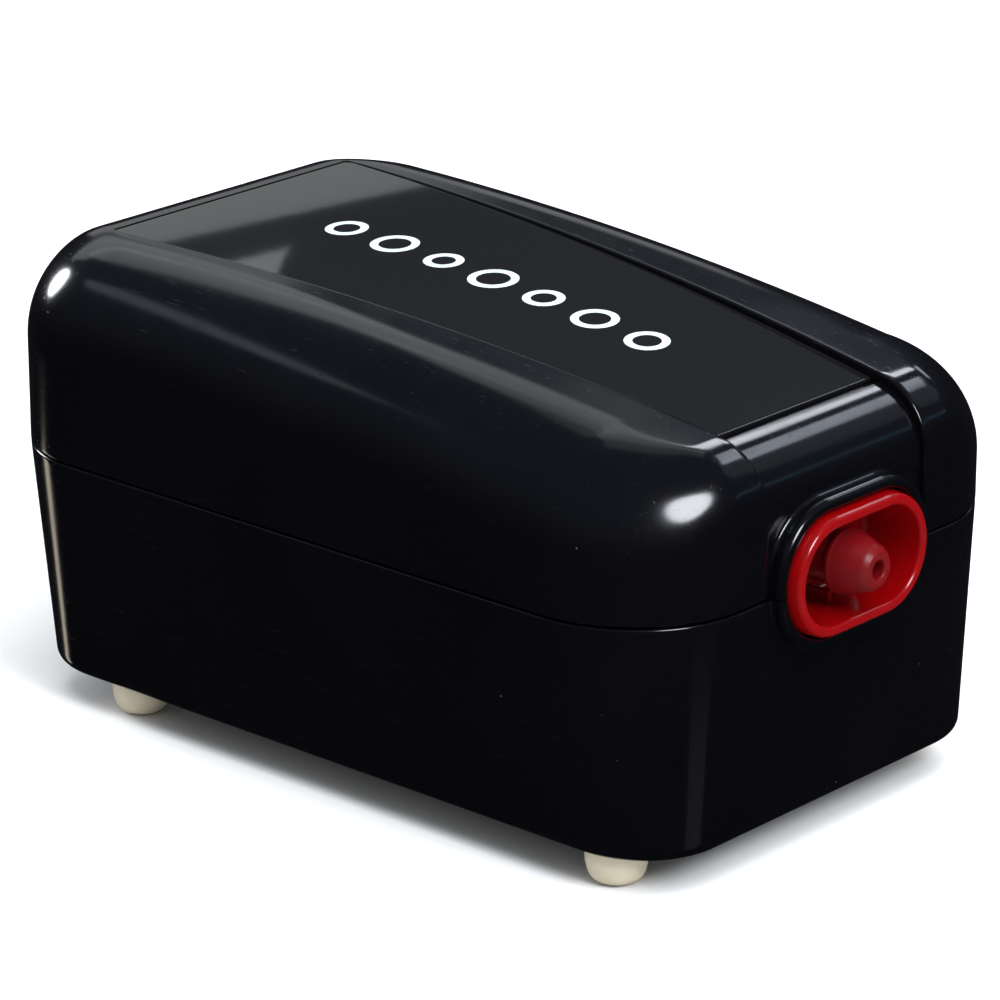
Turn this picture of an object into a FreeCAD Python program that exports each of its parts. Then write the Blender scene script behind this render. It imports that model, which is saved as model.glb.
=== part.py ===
import FreeCAD, Part
import math
import os
from FreeCAD import Vector

# Vibrating-armature aquarium air pump, millimetres, +Z up, outlet facing -Y.
# The origin is at floor level under the middle of the whole pump.

# case
body_width = 70.0
body_length = 107.8
corner_radius = 15.9
foot_height = 4.4
lower_height = 29.0
wall = 2.4
side_taper = 3.2
front_taper = 1.6
back_taper = 3.2
bottom_corner_radius = 11.0
bottom_edge_radius = 1.6

# crown of the lid: heights above the parting line at three stations along its length
crown_back = 25.3
crown_middle = 23.2
crown_front = 17.3
shoulder_step = 1.0          # how far the shoulders stand above the panel at its front end
side_shoulder_radius = 13.0
end_shoulder_radius = 9.0

# panel let into the lid
panel_length = 89.8
panel_front_inset = 8.5      # from the front face to the panel's front edge
panel_back_half = 20.8
panel_front_half = 14.7
channel_foot_half = 14.3
channel_depth_front = 0.8
panel_back_depth = 0.1
label_thickness = 0.5

# outlet
bezel_half_width = 13.8
bezel_half_height = 9.05
bezel_proud = 1.3
cup_half_width = 12.25
cup_half_height = 7.5
cup_wall = 2.0
rim_proud = 2.5
cup_floor_depth = 5.5
nozzle_reach = 4.5
nozzle_base_radius = 4.0
nozzle_tip_radius = 2.15
nozzle_bore_radius = 0.95
outlet_rise = 0.8            # the outlet's axis lies this far above the parting line

# where the main planes are
front_y = nozzle_reach - (body_length + nozzle_reach) / 2
back_y = front_y + body_length
parting_z = foot_height + lower_height
floor_z = foot_height + wall
outlet_z = parting_z + outlet_rise
panel_front_y = front_y + panel_front_inset
panel_back_y = panel_front_y + panel_length

# feet, case screws, filter, cord inlet
foot_radius = 3.7
foot_pad_radius = 1.6
foot_x = 26.5
foot_front_y = -40.0
foot_back_y = 37.0
boss_places = [(-26.0, -26.0), (26.0, -26.0), (-25.0, 45.5), (25.0, 45.5)]
boss_radius = 4.5
post_radius = 3.2
screw_seat_z = foot_height + 14.8
screw_tip_z = foot_height + 38.8
filter_place = (16.0, 20.0)
gland_x = 16.0
gland_z = foot_height + 12.8
gland_back_y = 54.9          # outer end of the cord grommet
gland_bore_radius = 2.2

# drive: one centre line for core, armature and diaphragm
bracket_screw_ys = (18.0, 31.0)
pivot_screw_y = -37.0
drive_x = -13.0
drive_z = foot_height + 21.8
core_depth = 14.0            # height of the stack of laminations
core_face_y = 14.0
core_leg = 20.0
core_yoke = 6.0
centre_leg = 9.0
outer_leg = 5.5
window = 5.0
pivot_y = -26.0
pin_radius = 1.5
running_gap = 0.05
air_gap = 1.5

# pump head, stacked along X beside the armature
head_y = -8.0
head_half = 14.0
head_screw_offset = 11.2
rim_face_x = -6.5            # where the diaphragm's rim sits on the valve body
rubber = 1.2
chamber_radius = 11.0
spigot_x = 2.6
spigot_radius = 2.3


def box(x0, x1, y0, y1, z0, z1):
    return Part.makeBox(x1 - x0, y1 - y0, z1 - z0, Vector(x0, y0, z0))


def rod(start, direction, radius, length):
    return Part.makeCylinder(radius, length, Vector(*start), Vector(*direction))


def tube(start, direction, outer, inner, length):
    return rod(start, direction, outer, length).cut(rod(start, direction, inner, length))


def joined(shapes):
    whole = shapes[0]
    for shape in shapes[1:]:
        whole = whole.fuse(shape)
    return whole.removeSplitter()


def without(shape, *cutters):
    for cutter in cutters:
        shape = shape.cut(cutter)
    return shape


def turned(points, centre, axis):
    """Solid of revolution from (distance along the axis, radius) points."""
    along = Vector(*axis)
    across = Vector(0, 0, 1) if abs(along.z) < 0.5 else Vector(1, 0, 0)
    base = Vector(*centre)
    corners = [base + along * a + across * r for a, r in points]
    face = Part.Face(Part.makePolygon(corners + [corners[0]]))
    return face.revolve(base, along, 360)


def rounded_plan(half_width, y_front, y_back, radius, z):
    """Closed outline of a rectangle with round corners, seen from above."""
    x = half_width
    k = radius * (1 - math.sqrt(0.5))

    def line(a, b):
        return Part.LineSegment(Vector(*a, z), Vector(*b, z)).toShape()

    def arc(a, m, b):
        return Part.Arc(Vector(*a, z), Vector(*m, z), Vector(*b, z)).toShape()

    return Part.Wire([
        line((-x, y_front + radius), (-x, y_back - radius)),
        arc((-x, y_back - radius), (k - x, y_back - k), (radius - x, y_back)),
        line((radius - x, y_back), (x - radius, y_back)),
        arc((x - radius, y_back), (x - k, y_back - k), (x, y_back - radius)),
        line((x, y_back - radius), (x, y_front + radius)),
        arc((x, y_front + radius), (x - k, y_front + k), (x - radius, y_front)),
        line((x - radius, y_front), (radius - x, y_front)),
        arc((radius - x, y_front), (k - x, y_front + k), (-x, y_front + radius)),
    ])


def stadium(half_width, half_height, y0, y1, edge=0.0):
    """Flat-sided oval bar along Y on the outlet's axis. edge rounds its -Y rim."""
    flat = half_width - half_height
    bar = joined([
        box(-flat, flat, y0, y1, outlet_z - half_height, outlet_z + half_height),
        rod((-flat, y0, outlet_z), (0, 1, 0), half_height, y1 - y0),
        rod((flat, y0, outlet_z), (0, 1, 0), half_height, y1 - y0),
    ])
    if not edge:
        return bar
    rim = [e for e in bar.Edges if e.BoundBox.YMax < y0 + 0.01]
    return bar.makeFillet(edge, rim)


def crown_circle(back, middle, front, sunk):
    """Circle in the middle plane through three heights of a crown above the parting line."""
    y_a, y_b, y_c = panel_back_y, panel_back_y - panel_length / 2, panel_front_y
    z_a, z_b, z_c = (parting_z + h - sunk for h in (back, middle, front))
    return Part.Circle(Vector(0, y_a, z_a), Vector(0, y_b, z_b), Vector(0, y_c, z_c))


def panel_drum(sunk):
    """Drum lying along X whose upper side is the panel's crown, sunk below it."""
    circle = crown_circle(crown_back - panel_back_depth, crown_middle, crown_front, sunk)
    return rod((-body_width, circle.Center.y, circle.Center.z), (1, 0, 0), circle.Radius, 2 * body_width)


def shoulder_drum(inset):
    """Ring whose upper side is the lid's crown, with the long side shoulders turned on its two rims."""
    circle = crown_circle(crown_back, crown_middle + shoulder_step / 2, crown_front + shoulder_step, inset)
    y_c, rim = circle.Center.y, circle.Center.z + circle.Radius
    half = body_width / 2 - inset
    r = side_shoulder_radius - inset
    k = r * (1 - math.sqrt(0.5))
    low = rim - 4 * crown_back

    def point(x, z):
        return Vector(x, y_c, z)

    section = Part.Wire([
        Part.LineSegment(point(-half, low), point(-half, rim - r)).toShape(),
        Part.Arc(point(-half, rim - r), point(k - half, rim - k), point(r - half, rim)).toShape(),
        Part.LineSegment(point(r - half, rim), point(half - r, rim)).toShape(),
        Part.Arc(point(half - r, rim), point(half - k, rim - k), point(half, rim - r)).toShape(),
        Part.LineSegment(point(half, rim - r), point(half, low)).toShape(),
        Part.LineSegment(point(half, low), point(-half, low)).toShape(),
    ])
    return Part.Face(section).revolve(circle.Center, Vector(1, 0, 0), 360)


def lid_block(inset):
    """Crowned block of the lid, shrunk by inset: ends and corners rounded first, then the long shoulders."""
    outline = rounded_plan(
        body_width / 2 - inset, front_y + inset, back_y - inset, corner_radius - inset, parting_z
    )
    circle = crown_circle(crown_back, crown_middle + shoulder_step / 2, crown_front + shoulder_step, inset)
    drum = rod((-body_width, circle.Center.y, circle.Center.z), (1, 0, 0), circle.Radius, 2 * body_width)
    block = Part.Face(outline).extrude(Vector(0, 0, 2 * crown_back)).common(drum).Solids[0]
    top = [e for e in block.Edges if e.BoundBox.ZMin > parting_z + 5]
    block = block.makeFillet(end_shoulder_radius - inset, top)
    return block.common(shoulder_drum(inset)).Solids[0]


def panel_plan(gap, y_front):
    """Prism standing on the panel's trapezium outline, carried on to y_front."""
    slope = (panel_back_half - panel_front_half) / panel_length
    front_half = panel_front_half
    points = [(panel_back_half - gap, panel_back_y - gap)]
    if y_front < panel_front_y:
        points.append((front_half - gap, panel_front_y))
        points.append((channel_foot_half - gap, y_front))
    else:
        points.append((front_half + slope * (y_front - panel_front_y) - gap, y_front + gap))
    corners = [Vector(x, y, parting_z) for x, y in points]
    corners += [Vector(-x, y, parting_z) for x, y in reversed(points)]
    return Part.Face(Part.makePolygon(corners + [corners[0]])).extrude(Vector(0, 0, 2 * crown_back))


def channel_cutter():
    """What is taken off the lid over the panel, the front radius and the front face above the outlet."""
    y0 = front_y + channel_depth_front
    kept = box(-body_width / 2, body_width / 2, y0, back_y + 5, parting_z - 5, parting_z + 2 * crown_back)
    kept = kept.common(panel_drum(0)).Solids[0]
    lip = [
        e for e in kept.Edges
        if e.BoundBox.YMax < y0 + 0.01 and e.BoundBox.ZMin > parting_z + 5
    ]
    kept = kept.makeFillet(panel_front_inset - channel_depth_front, lip)
    region = panel_plan(0, front_y - 1).common(box(-30, 30, front_y - 1, 60, parting_z, 90))
    return region.cut(kept)


def case_bezel():
    return stadium(bezel_half_width, bezel_half_height, front_y - bezel_proud, front_y + wall, 0.9)


def cup_hole():
    return stadium(cup_half_width + 0.1, cup_half_height + 0.1, front_y - 5, front_y + 8)


def upper_shell():
    outer = lid_block(0)
    posts = [
        rod((x, y, parting_z + 0.2), (0, 0, 1), post_radius, 30).common(lid_block(wall / 2))
        for x, y in boss_places
    ]
    bezel = case_bezel().common(box(-20, 20, front_y - 5, 0, parting_z, parting_z + 20))
    shell = joined([outer.cut(lid_block(wall))] + posts)
    shell = without(shell, channel_cutter(), label_pocket())
    shell = joined([shell, bezel])
    screw_holes = [rod((x, y, parting_z), (0, 0, 1), 1.5, 12) for x, y in boss_places]
    return without(shell, cup_hole(), *screw_holes)


def label_pocket():
    return panel_plan(0, panel_front_y).common(panel_drum(0)).cut(panel_drum(label_thickness))


def label_plate():
    return panel_plan(0.12, panel_front_y).common(panel_drum(0)).cut(panel_drum(label_thickness - 0.02))


def tapered_tub(inset, z0):
    """Lower case as a solid that narrows towards its bottom."""
    share = (parting_z - z0) / lower_height
    top = rounded_plan(
        body_width / 2 - inset, front_y + inset, back_y - inset, corner_radius - inset, parting_z
    )
    low = rounded_plan(
        body_width / 2 - inset - side_taper * share,
        front_y + inset + front_taper * share,
        back_y - inset - back_taper * share,
        corner_radius - inset - (corner_radius - bottom_corner_radius) * share,
        z0,
    )
    tub = Part.makeLoft([low, top], True, True)
    edge = [e for e in tub.Edges if e.BoundBox.ZMax < z0 + 0.01]
    return tub.makeFillet(bottom_edge_radius - 0.6 * bool(inset), edge)


def lower_shell():
    outer = tapered_tub(0, foot_height)
    lip_low = Part.Face(rounded_plan(32.7, front_y + 2.3, back_y - 2.3, 13.6, parting_z - 2.5))
    lip_high = Part.Face(rounded_plan(32.5, front_y + 2.5, back_y - 2.5, 13.4, parting_z))
    lip_core = Part.Face(rounded_plan(31.5, front_y + 3.5, back_y - 3.5, 12.4, parting_z - 3))
    lip = joined([lip_low.extrude(Vector(0, 0, 2.5)), lip_high.extrude(Vector(0, 0, 1.8))])
    lip = lip.cut(lip_core.extrude(Vector(0, 0, 6)))
    bosses = [rod((x, y, foot_height + 1), (0, 0, 1), boss_radius, lower_height - 1) for x, y in boss_places]
    bosses += [rod((drive_x, y, foot_height + 1), (0, 0, 1), 3.1, 3.4) for y in bracket_screw_ys]
    gland_boss = rod((gland_x, gland_back_y - 4.5, gland_z), (0, 1, 0), 6.5, 4)
    inside = joined(bosses + [gland_boss]).common(tapered_tub(wall / 2, foot_height + 0.5))
    bezel = case_bezel().common(box(-20, 20, front_y - 5, 0, parting_z - 20, parting_z))
    shell = joined([outer.cut(tapered_tub(wall, floor_z)), lip, inside, bezel])
    cutters = [cup_hole(), stadium(cup_half_width + 1.7, cup_half_height + 1.7, front_y + wall, front_y + 4.1)]
    for x, y in boss_places:
        cutters.append(rod((x, y, 0), (0, 0, 1), 3.0, screw_seat_z))
        cutters.append(rod((x, y, 0), (0, 0, 1), 1.6, 60))
    for x, y, head_z in chassis_screw_places():
        cutters.append(rod((x, y, foot_height + 0.8), (0, 0, 1), 1.3, 10))
    for x, y in foot_places():
        cutters.append(rod((x, y, 0), (0, 0, 1), 1.65, 20))
    x, y = filter_place
    cutters.append(rod((x, y, 0), (0, 0, 1), 11.5, foot_height + 1.2))
    cutters.append(rod((x, y, 0), (0, 0, 1), 9.0, 20))
    cutters.append(rod((gland_x, gland_back_y - 1.8, gland_z), (0, 1, 0), 6.0, 10))
    cutters.append(rod((gland_x, 45, gland_z), (0, 1, 0), 4.05, 20))
    return without(shell, *cutters)


def foot_places():
    return [(side * foot_x, y) for y in (foot_front_y, foot_back_y) for side in (-1, 1)]


def foot(x, y):
    """Push-in rubber foot: a dome with a small flat pad, a stem through the floor and a barb above it."""
    r, h = foot_radius, foot_height
    dome = [
        Part.LineSegment(Vector(0, 0, h), Vector(r, 0, h)).toShape(),
        Part.LineSegment(Vector(r, 0, h), Vector(r, 0, 0.62 * h)).toShape(),
        Part.Arc(Vector(r, 0, 0.62 * h), Vector(0.82 * r, 0, 0.2 * h), Vector(foot_pad_radius, 0, 0)).toShape(),
        Part.LineSegment(Vector(foot_pad_radius, 0, 0), Vector(0, 0, 0)).toShape(),
        Part.LineSegment(Vector(0, 0, 0), Vector(0, 0, h)).toShape(),
    ]
    body = Part.Face(Part.Wire(dome)).revolve(Vector(), Vector(0, 0, 1), 360)
    barb = turned([(h, 0), (h, 1.6), (floor_z, 1.6), (floor_z, 2.6), (floor_z + 1.6, 1.2), (floor_z + 1.6, 0)],
                  (0, 0, 0), (0, 0, 1))
    whole = joined([body, barb])
    whole.translate(Vector(x, y, 0))
    return whole


def outlet_cup():
    y_rim, y_floor = front_y - rim_proud, front_y + cup_floor_depth
    w, h = cup_half_width, cup_half_height
    outer = stadium(w, h, y_rim, y_floor + 1.5, 0.95)
    hollow = stadium(w - cup_wall, h - cup_wall, y_rim - 1, y_floor)
    flange = stadium(w + 1.5, h + 1.5, front_y + wall + running_gap, front_y + wall + 1.5)
    cup = joined([outer, flange]).cut(hollow)
    inner_edge = [
        e for e in cup.Edges
        if e.BoundBox.YMax < y_rim + 0.01 and abs(e.CenterOfMass.z - outlet_z) <= h - cup_wall + 0.01
        and e.BoundBox.XMax <= w - cup_wall + 0.01 and e.BoundBox.XMin >= cup_wall - w - 0.01
    ]
    cup = cup.makeFillet(0.95, inner_edge)
    ribs = [
        box(-6.6, -4.4, y_floor - 3, y_floor, outlet_z - 0.4, outlet_z + 0.4),
        box(4.4, 6.6, y_floor - 3, y_floor, outlet_z - 0.4, outlet_z + 0.4),
        box(-0.4, 0.4, y_floor - 3, y_floor, outlet_z - h + 1.9, outlet_z - 4.2),
        box(-0.4, 0.4, y_floor - 3, y_floor, outlet_z + 4.2, outlet_z + h - 1.9),
    ]
    return joined([cup] + ribs).cut(rod((0, y_floor - 1, outlet_z), (0, 1, 0), 3.25, 5))


def outlet_nozzle():
    """Soft cone that the airline pushes onto, with its stem, inner collar and hose spigot."""
    tip = -nozzle_reach
    floor_out = cup_floor_depth + 1.5
    profile = [
        (tip, nozzle_bore_radius), (tip, nozzle_tip_radius - 0.45), (tip + 0.13, nozzle_tip_radius - 0.13),
        (tip + 0.5, nozzle_tip_radius + 0.08), (-0.1, nozzle_base_radius - 0.05), (0.25, nozzle_base_radius),
        (0.45, nozzle_base_radius - 0.15), (0.7, 3.2), (floor_out, 3.2), (floor_out, 4.5),
        (floor_out + 1, 4.5), (floor_out + 1, spigot_radius), (floor_out + 6.2, spigot_radius),
        (floor_out + 6.2, nozzle_bore_radius),
    ]
    return turned(profile, (0, front_y, outlet_z), (0, 1, 0))


def cord_gland():
    """Rubber grommet in the back wall, with the hole that the mains cord passes through."""
    profile = [
        (-5.7, gland_bore_radius), (-5.7, 5.0), (-4.5, 5.0), (-4.5, 4.0), (-1.8, 4.0), (-1.8, 5.7),
        (-0.4, 5.7), (0, 5.2), (0, gland_bore_radius),
    ]
    return turned(profile, (gland_x, gland_back_y, gland_z), (0, 1, 0))


def pan_screw(x, y, head_z, tip_z, radius, head_radius, head_height):
    """Cross-slot pan head screw standing along Z, its head at head_z on the far side from its tip."""
    way = 1 if tip_z > head_z else -1
    head = rod((x, y, head_z), (0, 0, -way), head_radius, head_height)
    shank = rod((x, y, head_z), (0, 0, way), radius, abs(tip_z - head_z))
    z_slot = head_z - way * head_height
    z0, z1 = sorted((z_slot, z_slot + way * 0.9))
    slots = [
        box(x - 1.7, x + 1.7, y - 0.35, y + 0.35, z0, z1),
        box(x - 0.35, x + 0.35, y - 1.7, y + 1.7, z0, z1),
    ]
    return without(joined([head, shank]), *slots)


def case_screws():
    return Part.makeCompound([
        pan_screw(x, y, screw_seat_z, screw_tip_z, 1.45, 2.7, 2.0) for x, y in boss_places
    ])


def chassis_screw_places():
    """Each screw's x, y and the height its head sits at."""
    return [
        (drive_x, bracket_screw_ys[0], floor_z + 3.2), (drive_x, bracket_screw_ys[1], floor_z + 3.2),
        (drive_x, pivot_screw_y, floor_z + 1.2),
        (-10.5, head_y, floor_z + 2.0), (10.0, head_y, floor_z + 2.0),
    ]


def chassis_screws():
    return Part.makeCompound([
        pan_screw(x, y, head_z, foot_height + 1.0, 1.25, 2.6, 1.7) for x, y, head_z in chassis_screw_places()
    ])


def filter_cover():
    x, y = filter_place
    disc = rod((x, y, foot_height + 0.1), (0, 0, 1), 11.3, 1.1)
    wall_ring = tube((x, y, foot_height + 1.2), (0, 0, 1), 8.9, 7.9, 3.6)
    slots = [
        box(x + 2.8 * i - 0.7, x + 2.8 * i + 0.7, y - 5, y + 5, foot_height - 1, foot_height + 1.3)
        for i in range(-2, 3)
    ]
    return without(joined([disc, wall_ring]), *slots)


def filter_pad():
    x, y = filter_place
    return rod((x, y, foot_height + 1.2), (0, 0, 1), 7.8, 3.2)


def core_left():
    return drive_x - centre_leg / 2 - window - outer_leg


def core_stack():
    """E-shaped stack of steel laminations, legs towards the armature."""
    x0, z0, z1 = core_left(), drive_z - core_depth / 2, drive_z + core_depth / 2
    y1 = core_face_y + core_leg
    width = centre_leg + 2 * (window + outer_leg)
    parts = [box(x0, x0 + width, y1, y1 + core_yoke, z0, z1)]
    for start, size in ((0, outer_leg), (outer_leg + window, centre_leg), (width - outer_leg, outer_leg)):
        parts.append(box(x0 + start, x0 + start + size, core_face_y, y1, z0, z1))
    return joined(parts)


def leg_sleeve(gap, y0, y1, edge=0.0):
    """Bar round the centre leg, gap outside it, with rounded long edges."""
    bar = box(drive_x - centre_leg / 2 - gap, drive_x + centre_leg / 2 + gap, y0, y1,
              drive_z - core_depth / 2 - gap, drive_z + core_depth / 2 + gap)
    if not edge:
        return bar
    return bar.makeFillet(edge, [e for e in bar.Edges if e.BoundBox.YLength > 0.1])


def coil_bobbin():
    y0, y1 = core_face_y + 1, core_face_y + core_leg - 1.5
    sleeve = leg_sleeve(0.9, y0, y1)
    flanges = [leg_sleeve(4.9, y0, y0 + 1, 1), leg_sleeve(4.9, y1 - 1, y1, 1)]
    block = box(drive_x - 5, drive_x + 5, y1 - 2.5, y1 + 0.5, drive_z + 11.8, drive_z + 15)
    pins = [rod((drive_x + s, y1 - 1, drive_z + 12.5), (0, 0, 1), 0.45, 10) for s in (-3.5, 3.5)]
    return without(joined([sleeve, block] + flanges), leg_sleeve(0.1, y0 - 1, y1 + 1), *pins)


def coil_winding():
    y0, y1 = core_face_y + 2, core_face_y + core_leg - 2.5
    return leg_sleeve(4.1, y0, y1, 3.0).cut(leg_sleeve(0.9, y0 - 1, y1 + 1))


def winding_tape():
    y0, y1 = core_face_y + 2.4, core_face_y + core_leg - 5.2
    return leg_sleeve(4.4, y0, y1, 3.3).cut(leg_sleeve(4.1, y0 - 1, y1 + 1, 3.0))


def coil_pins():
    y = core_face_y + core_leg - 2.5
    return Part.makeCompound([
        rod((drive_x + s, y, drive_z + 12.5), (0, 0, 1), 0.42, 6) for s in (-3.5, 3.5)
    ])


def core_bracket():
    """Folded steel saddle: base, two cheeks beside the outer legs and a ledge under each."""
    x0 = core_left() - 1.3
    x1 = 2 * drive_x - x0
    y0, y1 = 15.0, 34.0
    z0, z_ledge = floor_z + 2, drive_z - core_depth / 2
    parts = [
        box(x0, x1, y0, y1, z0, z0 + 1.2),
        box(x0, x0 + 1.2, y0, y1, z0, drive_z + 4),
        box(x1 - 1.2, x1, y0, y1, z0, drive_z + 4),
        box(x0, x0 + 5, y0 + 2, y1 - 2, z_ledge - 1.2, z_ledge),
        box(x1 - 5, x1, y0 + 2, y1 - 2, z_ledge - 1.2, z_ledge),
    ]
    holes = [rod((drive_x, y, z0 - 1), (0, 0, 1), 1.4, 4) for y in bracket_screw_ys]
    return without(joined(parts), *holes)


def damping_pad():
    pad = box(core_left(), 2 * drive_x - core_left(), 16, 33, floor_z, floor_z + 2)
    return without(pad, *[rod((drive_x, y, 0), (0, 0, 1), 3.4, 20) for y in bracket_screw_ys])


def pivot_bracket():
    """Bent steel strip with two ears that hold the armature's pin."""
    x0, x1 = drive_x - 5, drive_x + 5
    y_web = pivot_y - 6
    y_ear = pivot_y + 3.6
    parts = [
        box(x0, x1, y_web - 10, y_web + 1.2, floor_z, floor_z + 1.2),
        box(x0, x1, y_web, y_web + 1.2, floor_z, drive_z + 8.6),
        box(x0, x1, y_web, y_ear, drive_z - 8.6, drive_z - 7.4),
        box(x0, x1, y_web, y_ear, drive_z + 7.4, drive_z + 8.6),
    ]
    pin = rod((drive_x, pivot_y, 10), (0, 0, 1), pin_radius + 0.03, 40)
    return without(joined(parts), pin, rod((drive_x, pivot_screw_y, 0), (0, 0, 1), 1.4, 12))


def pivot_pin():
    return rod((drive_x, pivot_y, drive_z - 9.4), (0, 0, 1), pin_radius, 18.8)


def pivot_bush():
    return tube((drive_x, pivot_y, drive_z - 7), (0, 0, 1), 2.7, pin_radius + running_gap, 14)


def magnet_face_y():
    return core_face_y - air_gap


def armature_arm():
    """Flat lever with an eye round the bush at one end, drilled for the diaphragm screw."""
    y_end = magnet_face_y() - 6
    eye = rod((drive_x, pivot_y, drive_z - 6), (0, 0, 1), 4, 12)
    strip = box(drive_x - 1, drive_x + 1, pivot_y + 2, y_end, drive_z - 5, drive_z + 5)
    return without(joined([eye, strip]), rod((drive_x, pivot_y, 10), (0, 0, 1), 2.72, 40),
                   rod((drive_x - 5, head_y, drive_z), (1, 0, 0), 1.25, 10))


def magnet_cup():
    y0 = magnet_face_y() - 6
    back = box(drive_x - 6, drive_x + 6, y0, y0 + 1.5, drive_z - 6.5, drive_z + 6.5)
    cheeks = [box(x, x + 1, y0, y0 + 4, drive_z - 6.5, drive_z + 6.5) for x in (drive_x - 6, drive_x + 5)]
    return joined([back] + cheeks)


def armature_magnet():
    y1 = magnet_face_y()
    return box(drive_x - 5, drive_x + 5, y1 - 4.5, y1, drive_z - 6, drive_z + 6)


def diaphragm():
    """Rubber disc with a raised centre, a sloping fold and a flat rim, drawn as distance along X and radius."""
    x = rim_face_x
    centre_x = x - 4.5
    profile = [
        (centre_x, 1.25), (centre_x, 6.2), (x - rubber, 11.4), (x - rubber, 13.4), (x, 13.4), (x, 10.8),
        (centre_x + rubber, 5.6), (centre_x + rubber, 1.25),
    ]
    return turned(profile, (0, head_y, drive_z), (1, 0, 0))


def diaphragm_washers():
    x_outer = drive_x + 1
    x_inner = rim_face_x - 4.5 + rubber
    place = (0, head_y, drive_z)
    return Part.makeCompound([
        turned([(x_outer, 1.25), (x_outer, 4.9), (x_outer + 1, 5.4), (x_outer + 1, 1.25)], place, (1, 0, 0)),
        turned([(x_inner, 1.25), (x_inner, 5.4), (x_inner + 1, 4.9), (x_inner + 1, 1.25)], place, (1, 0, 0)),
    ])


def diaphragm_screw():
    """Screw through lever, washers and diaphragm, closed by its nut."""
    x0, x_nut = drive_x - 1, rim_face_x - 4.5 + rubber + 1
    profile = [(x0 - 1.6, 0), (x0 - 1.6, 2.2), (x0, 2.5), (x0, 1.2), (x_nut, 1.2), (x_nut, 2.2),
               (x_nut + 1.4, 2.2), (x_nut + 1.4, 0)]
    return turned(profile, (0, head_y, drive_z), (1, 0, 0))


def head_plate(x0, x1):
    """Square plate of the pump head with rounded corners."""
    h = head_half
    plate = box(x0, x1, head_y - h, head_y + h, drive_z - h, drive_z + h)
    return plate.makeFillet(3, [e for e in plate.Edges if e.BoundBox.XLength > 0.1])


def head_screw_places():
    d = head_screw_offset
    return [(head_y + a * d, drive_z + b * d) for a in (-1, 1) for b in (-1, 1)]


def head_holes(x0, x1, radius):
    return [rod((x0, y, z), (1, 0, 0), radius, x1 - x0) for y, z in head_screw_places()]


def clamp_ring():
    x0, x1 = rim_face_x - rubber - 1.5, rim_face_x - rubber
    return without(head_plate(x0, x1), rod((x0, head_y, drive_z), (1, 0, 0), 12, 1.5), *head_holes(x0, x1, 1.3))


def port_places(rise):
    return [(head_y + s, drive_z + rise) for s in (-2.6, 0, 2.6)]


def valve_body():
    """Pump chamber with its port plate, pedestal and screw flange."""
    x0, x1 = rim_face_x, rim_face_x + 5
    pedestal = box(x0, x1, head_y - 10, head_y + 10, floor_z, drive_z - head_half + 0.5)
    flange = box(-13.5, 13, head_y - 5, head_y + 5, floor_z, floor_z + 2)
    rim_recess = rod((x0 - rubber, head_y, drive_z), (1, 0, 0), 13.5, rubber)
    cutters = [rod((x0, head_y, drive_z), (1, 0, 0), chamber_radius, 3)]
    cutters += head_holes(x0 - 2, x1, 1.3)
    for rise in (-5.5, 6):
        cutters += [rod((x0, y, z), (1, 0, 0), 0.9, 6) for y, z in port_places(rise)]
    for x in (-10.5, 10.0):
        cutters.append(rod((x, head_y, floor_z - 1), (0, 0, 1), 1.4, 4))
    rim = head_plate(x0 - rubber, x0).cut(rim_recess)
    return without(joined([head_plate(x0, x1), pedestal, flange, rim]), *cutters)


def outlet_pocket(x0, x1):
    return box(x0, x1, head_y - 9, head_y + 9, drive_z + 1.5, drive_z + 11.5)


def inlet_pocket(x0, x1):
    return box(x0, x1, head_y - 8, head_y + 8, drive_z - 11, drive_z - 1.5)


def valve_gasket():
    x0, x1 = rim_face_x + 5, rim_face_x + 5.6
    return without(head_plate(x0, x1), outlet_pocket(x0, x1), inlet_pocket(x0, x1), *head_holes(x0, x1, 1.3))


def valve_cover():
    """Head cover with its inlet and outlet pockets and the spigot for the inner hose."""
    x0, x1 = rim_face_x + 5.6, 7.0
    y_face = head_y - head_half
    spigot = rod((spigot_x, y_face - 5, outlet_z), (0, 1, 0), spigot_radius, 6)
    bore = rod((spigot_x, y_face - 5, outlet_z), (0, 1, 0), 1.1, 12)
    inlet = rod((spigot_x, head_y, drive_z - head_half), (0, 0, 1), 1.5, 4)
    body = joined([head_plate(x0, x1), spigot])
    return without(body, outlet_pocket(x0, 5.5), inlet_pocket(x0, 5.5), bore, inlet, *head_holes(x0, 5.2, 1.25))


def head_screws():
    """Four screws that hold ring, body, gasket and cover together, heads on the armature side."""
    x0 = rim_face_x - rubber - 1.5
    screws = []
    for y, z in head_screw_places():
        head = rod((x0 - 1.5, y, z), (1, 0, 0), 2.2, 1.5)
        shank = rod((x0, y, z), (1, 0, 0), 1.2, 5 - x0)
        slot = box(x0 - 1.5, x0 - 0.9, y - 1.7, y + 1.7, z - 0.3, z + 0.3)
        screws.append(joined([head, shank]).cut(slot))
    return Part.makeCompound(screws)


def inlet_flap():
    """Rubber flap on the chamber side of the port plate, hanging from its upper edge."""
    x1 = rim_face_x + 3
    return box(x1 - 0.5, x1, head_y - 4, head_y + 4, drive_z - 8.5, drive_z - 2.5)


def outlet_flap():
    """Rubber flap on the cover side of the port plate, hanging from its upper edge."""
    x0 = rim_face_x + 5
    return box(x0, x0 + 0.5, head_y - 4.5, head_y + 4.5, drive_z + 3, drive_z + 10)


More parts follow.
